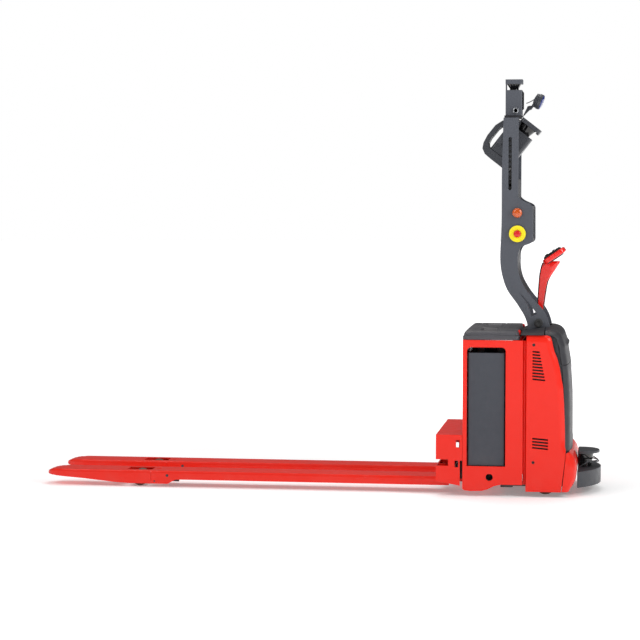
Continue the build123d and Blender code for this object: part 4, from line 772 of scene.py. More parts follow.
def brushed_height(
    graph: Graph, vector: bpy.types.NodeSocket, scale: bpy.types.NodeSocket
) -> bpy.types.NodeSocket:
    """Machined metal: noise drawn out along X to fine lines.

    Args:
        graph: Node tree to add to.
        vector: Place on the piece.
        scale: Lines per metre.

    Returns:
        The height for a bump.
    """
    parts = graph.add("ShaderNodeSeparateXYZ", {0: vector})
    long = graph.math("MULTIPLY", parts.outputs[0], 0.06)
    drawn = graph.add("ShaderNodeCombineXYZ", {0: long, 1: parts.outputs[1], 2: parts.outputs[2]}).outputs[0]
    return graph.add("ShaderNodeTexNoise", {"Vector": drawn, "Scale": scale, "Detail": 4.0}).outputs[0]


class Grain(Enum):
    """Kinds of surface grain."""

    PEEL = "paint_peel"
    MOULD = "moulded_grain"
    POWDER = "powder_grain"
    BRUSHED = "brushed_grain"


GROUPS: dict[str, bpy.types.NodeTree] = {
    "mottle": mottle_group(),
    "dust": dust_group(),
    "scuffs": scuff_group(),
    "wear": wear_group(),
    Grain.PEEL.value: grain_group(Grain.PEEL.value, peel_height),
    Grain.MOULD.value: grain_group(Grain.MOULD.value, mould_height),
    Grain.POWDER.value: grain_group(Grain.POWDER.value, powder_height),
    Grain.BRUSHED.value: grain_group(Grain.BRUSHED.value, brushed_height),
}


@dataclass(frozen=True)
class Finish:
    """One finish of the truck: its colour, gloss, grain and signs of use."""

    name: str
    colour: Colour
    roughness: float = 0.4
    metallic: float = 0.0
    coat: float = 0.0
    grain: Grain = Grain.PEEL
    grain_scale: float = 300.0
    grain_depth: float = 0.05
    mottle: float = 0.10
    dust: float = 0.25
    scuffs: float = 0.15
    wear: float = 0.3
    bare: Colour = (0.25, 0.24, 0.23)
    dusty: Colour = (0.42, 0.38, 0.33)
    specular: float = 0.5
    glow: float = 0.0

    def material(self) -> bpy.types.Material:
        """The finish as a material, made once.

        Returns:
            Blender's material of this name.
        """
        old = bpy.data.materials.get(self.name)
        if old is not None:
            return old
        material = bpy.data.materials.new(self.name)
        material.use_nodes = True
        graph = Graph(material.node_tree)
        shader = graph.tree.nodes["Principled BSDF"]
        where = graph.add("ShaderNodeTexCoord").outputs["Object"]
        base = (*self.colour, 1.0)
        shade = self.effect(graph, "mottle", {"Vector": where, "Scale": 3.5, "Amount": self.mottle})
        tone = graph.add("ShaderNodeCombineColor", {0: shade, 1: shade, 2: shade}).outputs[0]
        colour = graph.blend(1.0, base, tone, "MULTIPLY")
        rough = graph.spread(
            graph.noise(where, 26.0, 4.0), 0.3, 0.7, self.roughness * 0.86, self.roughness * 1.16
        )
        if self.scuffs > 0:
            mask = self.effect(graph, "scuffs", {"Vector": where, "Amount": self.scuffs})
            colour = graph.blend(mask, colour, (*[0.5 * c + 0.25 for c in self.colour], 1.0))
            rough = graph.math("ADD", rough, graph.math("MULTIPLY", mask, 0.25), True)
        if self.wear > 0:
            mask = self.effect(graph, "wear", {"Vector": where, "Amount": self.wear})
            colour = graph.blend(mask, colour, (*self.bare, 1.0))
        if self.dust > 0:
            mask = self.effect(graph, "dust", {"Vector": where, "Amount": self.dust})
            colour = graph.blend(mask, colour, (*self.dusty, 1.0))
            rough = graph.math("ADD", rough, graph.math("MULTIPLY", mask, 0.4), True)
        graph.tree.links.new(colour, shader.inputs["Base Color"])
        graph.tree.links.new(rough, shader.inputs["Roughness"])
        shader.inputs["Metallic"].default_value = self.metallic
        shader.inputs["Specular IOR Level"].default_value = self.specular
        shader.inputs["Coat Weight"].default_value = self.coat
        shader.inputs["Coat Roughness"].default_value = 0.08
        height = self.effect(graph, self.grain.value, {"Vector": where, "Scale": self.grain_scale})
        bump = graph.add(
            "ShaderNodeBump", {"Height": height, "Strength": self.grain_depth, "Distance": 0.002}
        )
        graph.tree.links.new(bump.outputs[0], shader.inputs["Normal"])
        if self.glow > 0:
            graph.tree.links.new(colour, shader.inputs["Emission Color"])
            shader.inputs["Emission Strength"].default_value = self.glow
        return material

    def effect(self, graph: Graph, group: str, values: dict) -> bpy.types.NodeSocket:
        """Places a shader group in the material and returns its first output.

        Args:
            graph: The material's node tree.
            group: Name of the shader group.
            values: Value of each input by name.

        Returns:
            The group's first output.
        """
        node = graph.add("ShaderNodeGroup", node_tree=GROUPS[group])
        for key, value in values.items():
            if isinstance(value, bpy.types.NodeSocket):
                graph.tree.links.new(value, node.inputs[key])
            else:
                node.inputs[key].default_value = value
        return node.outputs[0]


@dataclass(frozen=True)
class Lens:
    """Tinted clear plastic or glass with moulded ribs or a faint pattern."""

    name: str
    colour: Colour
    roughness: float = 0.12
    transmission: float = 0.6
    ribs: float = 260.0
    glow: float = 0.0

    def material(self) -> bpy.types.Material:
        """The lens as a material, made once.

        Returns:
            Blender's material of this name.
        """
        old = bpy.data.materials.get(self.name)
        if old is not None:
            return old
        material = bpy.data.materials.new(self.name)
        material.use_nodes = True
        graph = Graph(material.node_tree)
        shader = graph.tree.nodes["Principled BSDF"]
        where = graph.add("ShaderNodeTexCoord").outputs["Object"]
        shade = graph.spread(graph.noise(where, 60.0, 3.0), 0.3, 0.7, 0.85, 1.1)
        tone = graph.add("ShaderNodeCombineColor", {0: shade, 1: shade, 2: shade}).outputs[0]
        colour = graph.blend(1.0, (*self.colour, 1.0), tone, "MULTIPLY")
        graph.tree.links.new(colour, shader.inputs["Base Color"])
        rough = graph.spread(
            graph.noise(where, 140.0, 3.0), 0.3, 0.7, self.roughness * 0.7, self.roughness * 1.4
        )
        graph.tree.links.new(rough, shader.inputs["Roughness"])
        shader.inputs["Transmission Weight"].default_value = self.transmission
        shader.inputs["Coat Weight"].default_value = 0.6
        shader.inputs["Coat Roughness"].default_value = 0.05
        cells = graph.add(
            "ShaderNodeTexVoronoi", {"Vector": where, "Scale": self.ribs}, feature="F1"
        ).outputs[0]
        bump = graph.add("ShaderNodeBump", {"Height": cells, "Strength": 0.25, "Distance": 0.001})
        graph.tree.links.new(bump.outputs[0], shader.inputs["Normal"])
        if self.glow > 0:
            graph.tree.links.new(colour, shader.inputs["Emission Color"])
            shader.inputs["Emission Strength"].default_value = self.glow
        return material


RED = Finish(
    "truck_red_paint", linear(240, 34, 14), 0.36, coat=0.18, specular=0.28, grain_scale=420.0,
    grain_depth=0.045, mottle=0.07, dust=0.04, scuffs=0.05, wear=0.05
)
FORK_RED = Finish(
    "fork_red_paint", linear(238, 34, 14), 0.38, coat=0.14, specular=0.28, grain_scale=300.0,
    grain_depth=0.07, mottle=0.10, dust=0.06, scuffs=0.25, wear=0.15
)
RED_SHELL = Finish(
    "tiller_red_shell", linear(238, 24, 12), 0.20, coat=0.6, specular=0.35, grain_scale=500.0,
    grain_depth=0.02, mottle=0.05, dust=0.05, scuffs=0.06, wear=0.0
)
SLATE = Finish(
    "battery_slate_coat", linear(66, 69, 77), 0.62, grain=Grain.POWDER, grain_scale=900.0,
    grain_depth=0.16, mottle=0.16, dust=0.12, scuffs=0.15
)
MAST_GREY = Finish(
    "mast_grey_coat", linear(77, 80, 88), 0.42, grain=Grain.POWDER, grain_scale=800.0, grain_depth=0.10,
    mottle=0.10, dust=0.08, scuffs=0.10
)
LID_GREY = Finish(
    "lid_moulded_grey", linear(76, 75, 80), 0.52, grain=Grain.MOULD, grain_scale=700.0, grain_depth=0.22,
    mottle=0.10, dust=0.25, scuffs=0.15, wear=0.1, bare=(0.2, 0.2, 0.2)
)
COVER_DARK = Finish(
    "cover_moulded_dark", linear(46, 46, 51), 0.46, grain=Grain.MOULD, grain_scale=700.0, grain_depth=0.22,
    mottle=0.10, dust=0.14, scuffs=0.1, wear=0.1, bare=(0.12, 0.12, 0.12)
)
SCANNER_DARK = Finish(
    "scanner_housing_dark", linear(58, 60, 66), 0.40, grain=Grain.POWDER, grain_scale=1100.0,
    grain_depth=0.12, mottle=0.08, dust=0.08, scuffs=0.08, wear=0.1
)
BLACK_PLASTIC = Finish(
    "black_plastic", linear(28, 28, 31), 0.42, grain=Grain.MOULD, grain_scale=900.0, grain_depth=0.16,
    mottle=0.10, dust=0.08, scuffs=0.05, wear=0.0
)
OPTIC_BLACK = Finish(
    "optic_black_window", linear(9, 9, 12), 0.10, coat=0.5, grain_scale=700.0, grain_depth=0.015,
    mottle=0.05, dust=0.03, scuffs=0.03, wear=0.0
)
FRAME_BLACK = Finish(
    "frame_black_paint", linear(32, 32, 35), 0.48, grain=Grain.POWDER, grain_scale=600.0, grain_depth=0.12,
    dust=0.35, scuffs=0.2
)
YELLOW = Finish(
    "estop_yellow", linear(252, 232, 10), 0.36, grain=Grain.MOULD, grain_scale=1000.0, grain_depth=0.06,
    mottle=0.05, dust=0.03, scuffs=0.03, wear=0.0
)
BUTTON_RED = Finish(
    "estop_red", linear(214, 24, 20), 0.30, coat=0.3, grain_scale=800.0, grain_depth=0.04, mottle=0.06,
    dust=0.0, scuffs=0.05, wear=0.0
)
STEEL = Finish(
    "bright_steel", linear(176, 178, 182), 0.28, metallic=1.0, grain=Grain.BRUSHED, grain_scale=900.0,
    grain_depth=0.10, mottle=0.12, dust=0.10, scuffs=0.1, wear=0.0
)
DARK_STEEL = Finish(
    "dark_steel", linear(70, 70, 74), 0.42, metallic=0.8, grain=Grain.BRUSHED, grain_scale=600.0,
    grain_depth=0.12, mottle=0.2, dust=0.25, scuffs=0.1, wear=0.0
)
CAST_IRON = Finish(
    "cast_grey_iron", linear(84, 84, 86), 0.6, metallic=0.4, grain=Grain.POWDER, grain_scale=350.0,
    grain_depth=0.4, mottle=0.2, dust=0.3, wear=0.0
)
POLYURETHANE = Finish(
    "wheel_polyurethane", linear(92, 52, 26), 0.38, grain_scale=200.0, grain_depth=0.10, mottle=0.2,
    dust=0.35, scuffs=0.3, wear=0.0
)
RUBBER = Finish(
    "black_rubber", linear(30, 29, 29), 0.72, grain=Grain.POWDER, grain_scale=500.0, grain_depth=0.25,
    mottle=0.15, dust=0.35, wear=0.0
)
BOARD_GREEN = Finish(
    "controller_alloy", linear(120, 122, 124), 0.45, metallic=0.9, grain=Grain.BRUSHED, grain_scale=500.0,
    grain_depth=0.12, wear=0.0
)
AMBER = Lens("amber_lens", linear(214, 96, 28), 0.14, 0.35, 330.0, 0.12)
BLUE = Lens("blue_lens", linear(18, 42, 128), 0.10, 0.35, 420.0, 0.15)
SCREEN = Finish(
    "display_glass", linear(16, 22, 30), 0.08, coat=0.6, grain_scale=400.0, grain_depth=0.01, mottle=0.3,
    dust=0.05, scuffs=0.0, wear=0.0
)


def dress(
    piece: bpy.types.Object, finish: Finish | Lens, body: str | None = None, replaces: Sequence[str] = (),
) -> bpy.types.Object:
    """Gives a piece its finish, its body and the nodes it stands for.

    Args:
        piece: The piece.
        finish: Its finish.
        body: Body it moves with, or None for a CAD node.
        replaces: CAD nodes that it stands for.

    Returns:
        The piece.
    """
    piece.data.materials.clear()
    piece.data.materials.append(finish.material())
    if body is not None:
        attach(piece, body)
        if replaces:
            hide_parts(*replaces)
    LOG.info("%s: %s on %s", piece.name, finish.name, body or "its own body")
    return piece


# ------------------------------------------------------------------ sculpted pieces


class Side(Enum):
    """Near (left) and far (right) side of the truck, with the sign of Y there."""

    LEFT = -1
    RIGHT = 1

    @property
    def word(self) -> str:
        """Name of the side, as the nodes have it."""
        return self.name.lower()


def wrap(u: Array, edge: float, radius: float) -> tuple[Array, Array]:
    """Folds a pattern round a corner: straight, then a quarter arc, then straight inwards.

    Args:
        u: Pattern coordinate, equal to X on the straight part.
        edge: X of the face that the pattern folds onto; the pattern comes from above it.
        radius: Radius of the fold.

    Returns:
        X, and the depth gone inwards.
    """
    s = edge + radius - u
    a = np.clip(s / radius, 0, math.pi / 2)
    beyond = np.maximum(s - radius * math.pi / 2, 0)
    x = np.where(s < 0, u, edge + radius - radius * np.sin(a))
    return x, radius * (1 - np.cos(a)) + beyond


def roll_off(distance: Array, width: float, depth: float, power: float = 2.2) -> Array:
    """Depth of a soft edge: depth * (1 - d / width) ** power inside the width, else 0."""
    return depth * np.clip(1 - distance / width, 0, None) ** power


def stadium(x0: float, z0: float, x1: float, z1: float, r: float) -> Array:
    """Slot with round ends between two centres.

    Args:
        x0: X of the first centre.
        z0: Z of the first centre.
        x1: X of the second centre.
        z1: Z of the second centre.
        r: Radius of the ends.

    Returns:
        The closed outline.
    """
    a = math.atan2(z1 - z0, x1 - x0)
    t = np.linspace(math.pi / 2, 3 * math.pi / 2, 9) + a
    first = np.stack([x0 + r * np.cos(t), z0 + r * np.sin(t)], 1)
    second = np.stack([x1 - r * np.cos(t), z1 - r * np.sin(t)], 1)
    return np.vstack([first, second])


@dataclass
class SideCovers:
    """Red covers of the drive unit, with a broad soft edge, louvres and fixing holes."""

    rear: float = 446.0
    flank: float = 350.0
    fold: float = 5.0
    return_depth: float = 26.0
    soft_width: float = 30.0
    soft_depth: float = 17.0
    wall: float = 3.5
    vent_slope: float = 0.087
    vent_pitch: float = 15.2
    vent_height: float = 8.0
    upper_vent: tuple[float, float, float, float] = (478.0, 513.0, 541.0, 723.0)
    lower_vent: tuple[float, float, float] = (479.0, 557.0, 290.0)
    screws: tuple[tuple[float, float], ...] = ((484.0, 760.0), (484.0, 174.0))
    screw_radius: float = 7.5
    bottom: float = 27.0
    top: float = 807.0
    fade: tuple[float, float] = (215.0, 300.0)
    # Y, then X and Z spans, of the flat black sheets behind the louvre slots: painted shade for the dark
    # inside of the covers.
    shade_sheet_y: float = 338.0
    meshes: tuple[tuple[float, float, float, float], ...] = ((468, 560, 572, 742), (468, 570, 232, 306))
    edge: tuple[tuple[float, float], ...] = (
        (622, 27), (644, 219), (641, 255), (640, 330), (637, 413), (630, 540), (622, 587), (615, 629),
        (602, 685), (583, 736), (573, 782), (565, 800), (548, 807),
    )

    def louvres(self) -> list[Array]:
        """Slots of the upper and the lower vent, and the two fixing holes.

        Returns:
            One closed outline for each slot and hole.
        """
        x0, x1, x2, z = self.upper_vent
        rise = self.vent_height
        lows = z - self.vent_pitch * np.arange(10)
        ends = np.linspace(x1, x2, 10)
        slots = [bar(x0, end, low, low + rise, 2.5, self.vent_slope) for end, low in zip(ends, lows)]
        x0, x1, z = self.lower_vent
        lows = z - self.vent_pitch * np.arange(4)
        slots += [bar(x0, x1, low, low + rise, 2.5, self.vent_slope) for low in lows]
        return slots + [circle(x, z, self.screw_radius) for x, z in self.screws]

    def build(self) -> None:
        """Makes both covers and the flat black sheets behind their louvres, which are painted shade standing
        in for the dark inside of the covers.
        """
        start = self.rear + self.fold - self.fold * math.pi / 2 - self.return_depth
        front = spline(self.edge, 90)
        outline = np.vstack([[(start, self.bottom)], front, [(start, self.top)]])

        def surface(p: Array, sign: float) -> Array:
            """Flat flank that folds in at the rear and rolls off along its top and front edges.

            Args:
                p: Points of the flat pattern.
                sign: 1 or -1 for the side.

            Returns:
                The places in space.
            """
            x, depth = wrap(p[:, 0], self.rear, self.fold)
            d = edge_distance(p, front[8:], closed=False)
            d = np.minimum(d, np.maximum(self.top - p[:, 1], 0))
            fade = step_up(p[:, 1], *self.fade)
            depth = depth + roll_off(d, self.soft_width, self.soft_depth) * fade
            return np.stack([x, sign * (self.flank - depth), p[:, 1]], 1)

        for side in Side:
            name = f"side_cover_{side.word}"
            cover = sheet_piece(
                f"drive_cover_{side.word}", outline, lambda p: surface(p, side.value),
                self.wall * -side.value, self.louvres(), 9.0, 6.0
            )
            dress(cover, RED, "chassis", [name])
            soften(cover, 0.9)
            # Flat black sheets behind the louvre slots, painted shade standing in for the dark inside of the
            # cover.
            shade_sheets = []
            for k, (x0, x1, z0, z1) in enumerate(self.meshes):
                flat = lambda p: np.stack([p[:, 0], np.full(len(p), side.value * self.shade_sheet_y), p[:, 1]], 1)
                shade_sheets.append(
                    sheet_piece(
                        f"back_{k}", rounded([(x0, z0), (x1, z0), (x1, z1), (x0, z1)], 6), flat, 2.0, (),
                        40.0
                    )
                )
            dress(join(f"louvre_shade_sheet_{side.word}", shade_sheets), BLACK_PLASTIC, "chassis")


@dataclass
class BatteryLid:
    """Grey moulded lid: a rim round the box and a low crowned top with ribs and a grip recess."""

    x0: float = 131.5
    x1: float = 412.0
    reach: float = 356.0
    corner: float = 22.0
    low: float = 783.0
    top: float = 829.0
    edge_run: float = 20.0
    edge_drop: float = 17.0
    crown: float = 3.0
    rib_span: tuple[float, float] = (326.0, 396.0)
    rib_pitch: float = 11.7
    rib_height: float = 1.6
    grip_span: tuple[float, float, float] = (212.0, 300.0, 92.0)
    grip_y: float = 190.0
    grip_depth: float = 11.0
    grooves: tuple[float, float] = (186.0, 312.0)
    groove_depth: float = 2.0

    def build(self) -> None:
        """Makes the rim and the top."""
        plan = rounded(
            [(self.x0, -self.reach), (self.x1, -self.reach), (self.x1, self.reach), (self.x0, self.reach)],
            self.corner, 8
        )
        plan = resample(plan, 14.0)
        dress(self.rim(plan), LID_GREY, "lid", ["battery_lid"])
        inner = rounded(
            [
                (self.x0 + 5, -self.reach + 5), (self.x1 - 3, -self.reach + 5),
                (self.x1 - 3, self.reach - 5), (self.x0 + 5, self.reach - 5)
            ], self.corner - 3, 8
        )
        def surface(p: Array) -> Array:
            """Top height: a rolled edge, a low crown, ribs over the front and a sunk grip.

            Args:
                p: Points of the plan.

            Returns:
                The places in space.
            """
            x, y = p[:, 0], p[:, 1]
            d = edge_distance(p, inner)
            z = self.top - self.edge_drop * (1 - np.sqrt(1 - np.clip(1 - d / self.edge_run, 0, 1) ** 2))
            z = z - self.crown * (y / self.reach) ** 2
            first, last = self.rib_span
            band = step_up(x, first - 4, first + 4) * step_up(last - x, 0, 8) * step_up(
                self.reach - 40 - np.abs(y), 0, 12
            )
            z = z + self.rib_height * band * (0.5 + 0.5 * np.cos(2 * math.pi * (x - first) / self.rib_pitch))
            x0, x1, half = self.grip_span
            for centre in (-self.grip_y, self.grip_y):
                grip = step_up(x, x0, x0 + 10) * step_up(x1 - x, 0, 10)
                z = z - self.grip_depth * grip * step_up(half - np.abs(y - centre), 0, 12)
            groove = sum(np.exp(-(((x - line) / 3.0) ** 2)) for line in self.grooves)
            return np.stack([x, y, z - self.groove_depth * groove * step_up(d, 6, 14)], 1)

        top = sheet_piece("battery_lid_top", inner, surface, 3.5, (), (3.6, 9.0), 7.0)
        dress(top, LID_GREY, "lid")
        soften(top, 0.6)

    def rim(self, plan: Array) -> bpy.types.Object:
        """Rim: an L section with a soft foot and a shadow groove, carried round the plan.

        Args:
            plan: The lid's closed plan.

        Returns:
            The rim as a piece.
        """
        section = np.array(
            [
                (5, self.low), (1.2, self.low), (0, self.low + 1.5), (0, 799), (0.8, 803), (2.4, 804.5),
                (5.5, 804.8), (5.5, 808), (9, 808), (9, 786)
            ]
        )
        tangent = np.roll(plan, -1, 0) - np.roll(plan, 1, 0)
        normal = np.stack([-tangent[:, 1], tangent[:, 0]], 1) / np.linalg.norm(tangent, axis=1)[:, None]
        xy = plan[None] + section[:, 0, None, None] * normal[None]
        z = np.broadcast_to(section[:, 1, None, None], xy.shape[:2] + (1,))
        wave = 2.2 * np.sin(plan[:, 0] / 34.0) * (section[:, 1] > 800)[:, None]
        points = np.concatenate([xy, z + wave[..., None]], -1)
        faces = grid_faces(len(section), len(plan), closed_rows=True, closed_cols=True)
        rim = mesh_piece("battery_lid_rim", points.reshape(-1, 3), faces.tolist())
        soften(rim, 0.5)
        return rim


@dataclass
class FrontCover:
    """Dark moulded front cover in two mouldings, crowned from side to side."""

    reach: float = 308.0
    split: float = 660.0
    seam: float = 1.2
    wall: float = 5.0
    crown: float = 13.0
    shoulder: float = 24.0
    cheek_inset: float = 33.0
    shoulder_width: float = 46.0
    shoulder_power: float = 2.4
    lip_z: float = 751.0
    lip_rise: float = 7.0
    lip_half: float = 150.0
    panel_half: float = 196.0
    panel_depth: float = 3.0
    cheek_foot: tuple[tuple[float, float], ...] = ((640, 216), (540, 216))
    well: float = 52.0
    side_line: tuple[tuple[float, float], ...] = (
        (538, 841), (569, 840), (592, 834), (608, 826), (625, 809), (634, 786), (640, 768), (644, 756),
        (647, 735),
        (652, 700), (659, 658), (663, 612), (666, 572), (670, 515), (672, 461), (672.5, 370), (672.5, 278),
        (671, 204),
    )

    def build(self) -> None:
        """Makes both mouldings."""
        line = spline(self.side_line, 260)
        run = np.concatenate([[0], np.cumsum(np.linalg.norm(np.diff(line, axis=0), axis=1))])
        tangent = np.gradient(line, axis=0)
        normal = np.stack([-tangent[:, 1], tangent[:, 0]], 1) / np.linalg.norm(tangent, axis=1)[:, None]
        cut = float(np.interp(-self.split, -line[:, 1], run))
        lip = float(np.interp(-self.lip_z, -line[:, 1], run))

        def surface(p: Array) -> Array:
            """The side line at run s, moved inwards by a crown and soft shoulders.

            Args:
                p: Run along the side line and place across it.

            Returns:
                The places in space.
            """
            s, y = p[:, 0], p[:, 1]
            at = np.stack([np.interp(s, run, line[:, i]) for i in range(2)], 1)
            out = np.stack([np.interp(s, run, normal[:, i]) for i in range(2)], 1)
            far = np.abs(y) / self.reach
            depth = self.crown * far**2 + roll_off(
                (1 - far) * self.reach, self.shoulder_width, self.shoulder, self.shoulder_power
            )
            lip_rise = self.lip_rise * np.exp(-(((s - lip) / 9.0) ** 2)) * step_up(
                self.lip_half - np.abs(y), 0, 18
            )
            panel = self.panel_depth * step_up(
                self.panel_half - np.abs(y), 0, 10
            ) * step_up(s, cut + 40, cut + 52) * step_up(run[-1] - 60 - s, 0, 12)
            move = lip_rise - depth - panel
            return np.stack([at[:, 0] + out[:, 0] * move, y, at[:, 1] + out[:, 1] * move], 1)

        spans = (("front_cover_upper", 0.0, cut - self.seam), ("front_cover_lower", cut + self.seam, run[-1]))
        for name, s0, s1 in spans:
            corners = [(s0, -self.reach), (s1, -self.reach), (s1, self.reach), (s0, self.reach)]
            if name.endswith("upper"):
                corners += [
                    (s0, self.well), (s0 + 24, self.well - 4), (s0 + 24, 4 - self.well), (s0, -self.well)
                ]
            outline = rounded(corners, 6)
            piece = sheet_piece(name, outline, surface, self.wall, (), (8.0, 12.0), 8.0)
            dress(
                piece, COVER_DARK, "chassis", ["front_cover"] if name.endswith("upper") else (),
            )
            soften(piece, 0.8)
        cheek = np.vstack([line[::13] - normal[::13] * self.cheek_inset, self.cheek_foot])
        for side in Side:
            flat = lambda p: np.stack([p[:, 0], np.full(len(p), side.value * (self.reach - 3.0)), p[:, 1]], 1)
            dress(
                sheet_piece(f"front_cover_cheek_{side.word}", cheek, flat, 3.0, (), 20.0), COVER_DARK,
                "chassis"
            )


@dataclass
class Bumper:
    """Red bumper that wraps the front, bulged in height, cut along the slanted seams to the covers."""

    front: float = 700.0
    flank: float = 350.0
    corner: float = 78.0
    rear: float = 560.0
    seam_low: float = 624.0
    seam_high: float = 646.0
    wall: float = 4.0
    rise: tuple[tuple[float, float], ...] = (
        (27, 44), (34, 38), (53, 22), (89, 6), (110, 3), (149, 0), (172, 4), (195, 12), (210, 22),
        (220, 32), (226, 36),
    )

    def build(self) -> None:
        """Makes the bumper."""
        path = rounded(
            [
                (self.rear, -self.flank), (self.front, -self.flank), (self.front, self.flank),
                (self.rear, self.flank)
            ],
            [1, self.corner, self.corner, 1], 14
        )
        path = self.open_path(path)
        run = np.concatenate([[0], np.cumsum(np.linalg.norm(np.diff(path, axis=0), axis=1))])
        tangent = np.gradient(path, axis=0)
        normal = np.stack([tangent[:, 1], -tangent[:, 0]], 1) / np.linalg.norm(tangent, axis=1)[:, None]
        table = np.array(self.rise, float)
        total = run[-1]

        def surface(p: Array) -> Array:
            """Plan path moved inwards by the bulge, which fades to a quarter along the flanks.

            Args:
                p: Run along the plan path and height.

            Returns:
                The places in space.
            """
            s, z = p[:, 0], p[:, 1]
            at = np.stack([np.interp(s, run, path[:, i]) for i in range(2)], 1)
            out = np.stack([np.interp(s, run, normal[:, i]) for i in range(2)], 1)
            facing = np.clip(out[:, 0], 0, 1)
            depth = np.interp(z, table[:, 0], table[:, 1]) * (0.12 + 0.88 * facing)
            return np.stack([at[:, 0] - out[:, 0] * depth, at[:, 1] - out[:, 1] * depth, z], 1)

        low, high = self.seam_low - self.rear, self.seam_high - self.rear
        right = np.array([(low, 27), (low + 6, 60), (high, 218), (high + 8, 224), (high + 22, 226)])
        mirror = np.stack([total - right[::-1, 0], right[::-1, 1]], 1)
        outline = np.vstack([right, mirror])
        piece = sheet_piece("front_bumper", outline, surface, self.wall, (), 9.0, 6.0)
        dress(piece, RED, "chassis", ["lower_bumper"])
        soften(piece, 1.2)

    def open_path(self, path: Array) -> Array:
        """The closed plan cut open at its rear and evenly spaced.

        Args:
            path: The closed plan.

        Returns:
            The open path from one rear end to the other.
        """
        start = int(np.argmin(np.abs(path[:, 0] - self.rear) + np.abs(path[:, 1] + self.flank)))
        line = np.roll(path, -start, 0)
        line = line[line[:, 0] >= self.rear - 0.6]
        stop = int(np.argmin(np.abs(line[:, 0] - self.rear) + np.abs(line[:, 1] - self.flank)))
        line = resample(line[: stop + 1], 5.0, closed=False)
        return line


@dataclass
class Forks:
    """Two red forks: folded channels with a thin nose, an opening over the roller and a seam."""

    reach: float = 2040.0
    half: float = 82.5
    top: float = 85.0
    fold: float = 8.0
    wall: float = 5.5
    spread: float = 187.5
    root: float = 59.0
    nose_end: float = -1852.0

    def shape(self, x: Array) -> tuple[Array, Array, Array]:
        """Half width, top and bottom of the fork at each X, from short tables smoothed by interpolation.

        Args:
            x: Places along the fork.

        Returns:
            Half width, top and bottom at each place.
        """
        tip = -self.reach
        half = np.interp(
            x, [tip, tip + 8, tip + 25, tip + 50, tip + 90, 60], [30, 44, 60, 73, self.half, self.half]
        )
        top = np.interp(
            x, [tip, tip + 4, tip + 14, tip + 40, tip + 90, 60], [66, 71, 77, 82, self.top, self.top]
        )
        low_x = [tip, tip + 4, tip + 12, tip + 77, tip + 211, tip + 370, tip + 450, -1392, -1352, 60]
        low = np.interp(x, low_x, [60, 55, 52, 47, 37, 21, 17, 17, 40, 40])
        return half, top, low

    def build(self) -> None:
        """Makes both forks with their pins."""
        x = np.concatenate(
            [np.linspace(-self.reach, -self.reach + 100, 40), np.linspace(-1930, self.root, 240)]
        )
        half, top, low = self.shape(x)
        edge = half - self.fold + self.fold * math.pi / 2 + np.maximum(top - self.fold - low, 1.0)
        outline = np.vstack([np.stack([x, -edge], 1), np.stack([x, edge], 1)[::-1]])

        def surface(p: Array, centre: float) -> Array:
            """Folds the pattern over the top and down both sides of a round-edged channel.

            Args:
                p: Points of the flat pattern.
                centre: Y of the fork's middle.

            Returns:
                The places in space.
            """
            half, top, _ = self.shape(p[:, 0])
            s = np.abs(p[:, 1]) - (half - self.fold)
            a = np.clip(s / self.fold, 0, math.pi / 2)
            down = np.maximum(s - self.fold * math.pi / 2, 0)
            y = np.where(s < 0, np.abs(p[:, 1]), half - self.fold + self.fold * np.sin(a))
            z = top - self.fold * (1 - np.cos(a)) - down
            return np.stack([p[:, 0], centre + np.sign(p[:, 1]) * y, z], 1)

        flank = self.half - self.fold + self.fold * math.pi / 2
        slits = [
            rounded(
                [
                    (-1481, s * flank), (-1479.6, s * flank), (-1479.6, s * (flank + 54)),
                    (-1481, s * (flank + 54))
                ],
                0.3, 1
            )
            for s in (-1, 1)
        ]
        slits = [line if line[1, 1] > 0 else line[::-1] for line in slits]
        holes = [
            rounded([(-1615, -48), (-1483, -48), (-1483, 48), (-1615, 48)], 10),
            stadium(-1461, -9, -1449, 9, 6.5), *slits
        ]
        slot = rounded([(20, -17), (52, -17), (52, 17), (20, 17)], 3)
        for side in Side:
            centre = side.value * self.spread
            shell = sheet_piece(
                f"fork_{side.word}_shell", outline, lambda p: surface(p, centre), self.wall,
                [*holes, slot], (14.0, 8.0), 5.0
            )
            nose = self.nose(centre, side)
            pins = [
                lathe(
                    f"pin_{k}{s}", [(0, 0), (r, 0), (r, 5), (r - 1.2, 6.2), (0, 6.4)],
                    (px, centre + s * (self.half - 5.6), pz), (0, s, 0), 24
                )
                for k, (px, pz, r) in enumerate(((-1462, 30, 5.0), (-1395, 60, 8.0)))
                for s in (-1, 1)
            ]
            dress(shell, FORK_RED, "lift_frame", [f"fork_{side.word}"])
            soften(shell, 0.8)
            dress(nose, FORK_RED, "lift_frame")
            dress(join(f"fork_{side.word}_pins", pins), DARK_STEEL, "lift_frame")

    def nose(self, centre: float, side: Side) -> bpy.types.Object:
        """Filling of the nose: rounded sections just inside the shell.

        Args:
            centre: Y of the fork's middle.
            side: Which fork it closes.

        Returns:
            The nose as a piece.
        """
        x = np.concatenate(
            [np.linspace(-self.reach + 3, -self.reach + 40, 14), np.linspace(-1990, self.nose_end, 20)]
        )
        half, top, low = self.shape(x)
        a = np.linspace(0, 2 * math.pi, 40, endpoint=False)
        power = 0.35
        c = np.sign(np.cos(a)) * np.abs(np.cos(a)) ** power
        s = np.sign(np.sin(a)) * np.abs(np.sin(a)) ** power
        y = centre + (half - 1.2)[:, None] * c
        z = ((top + low) / 2)[:, None] + ((top - low) / 2 - 0.6)[:, None] * s
        return skin(f"fork_{side.word}_nose", np.stack([np.broadcast_to(x[:, None], y.shape), y, z], -1))


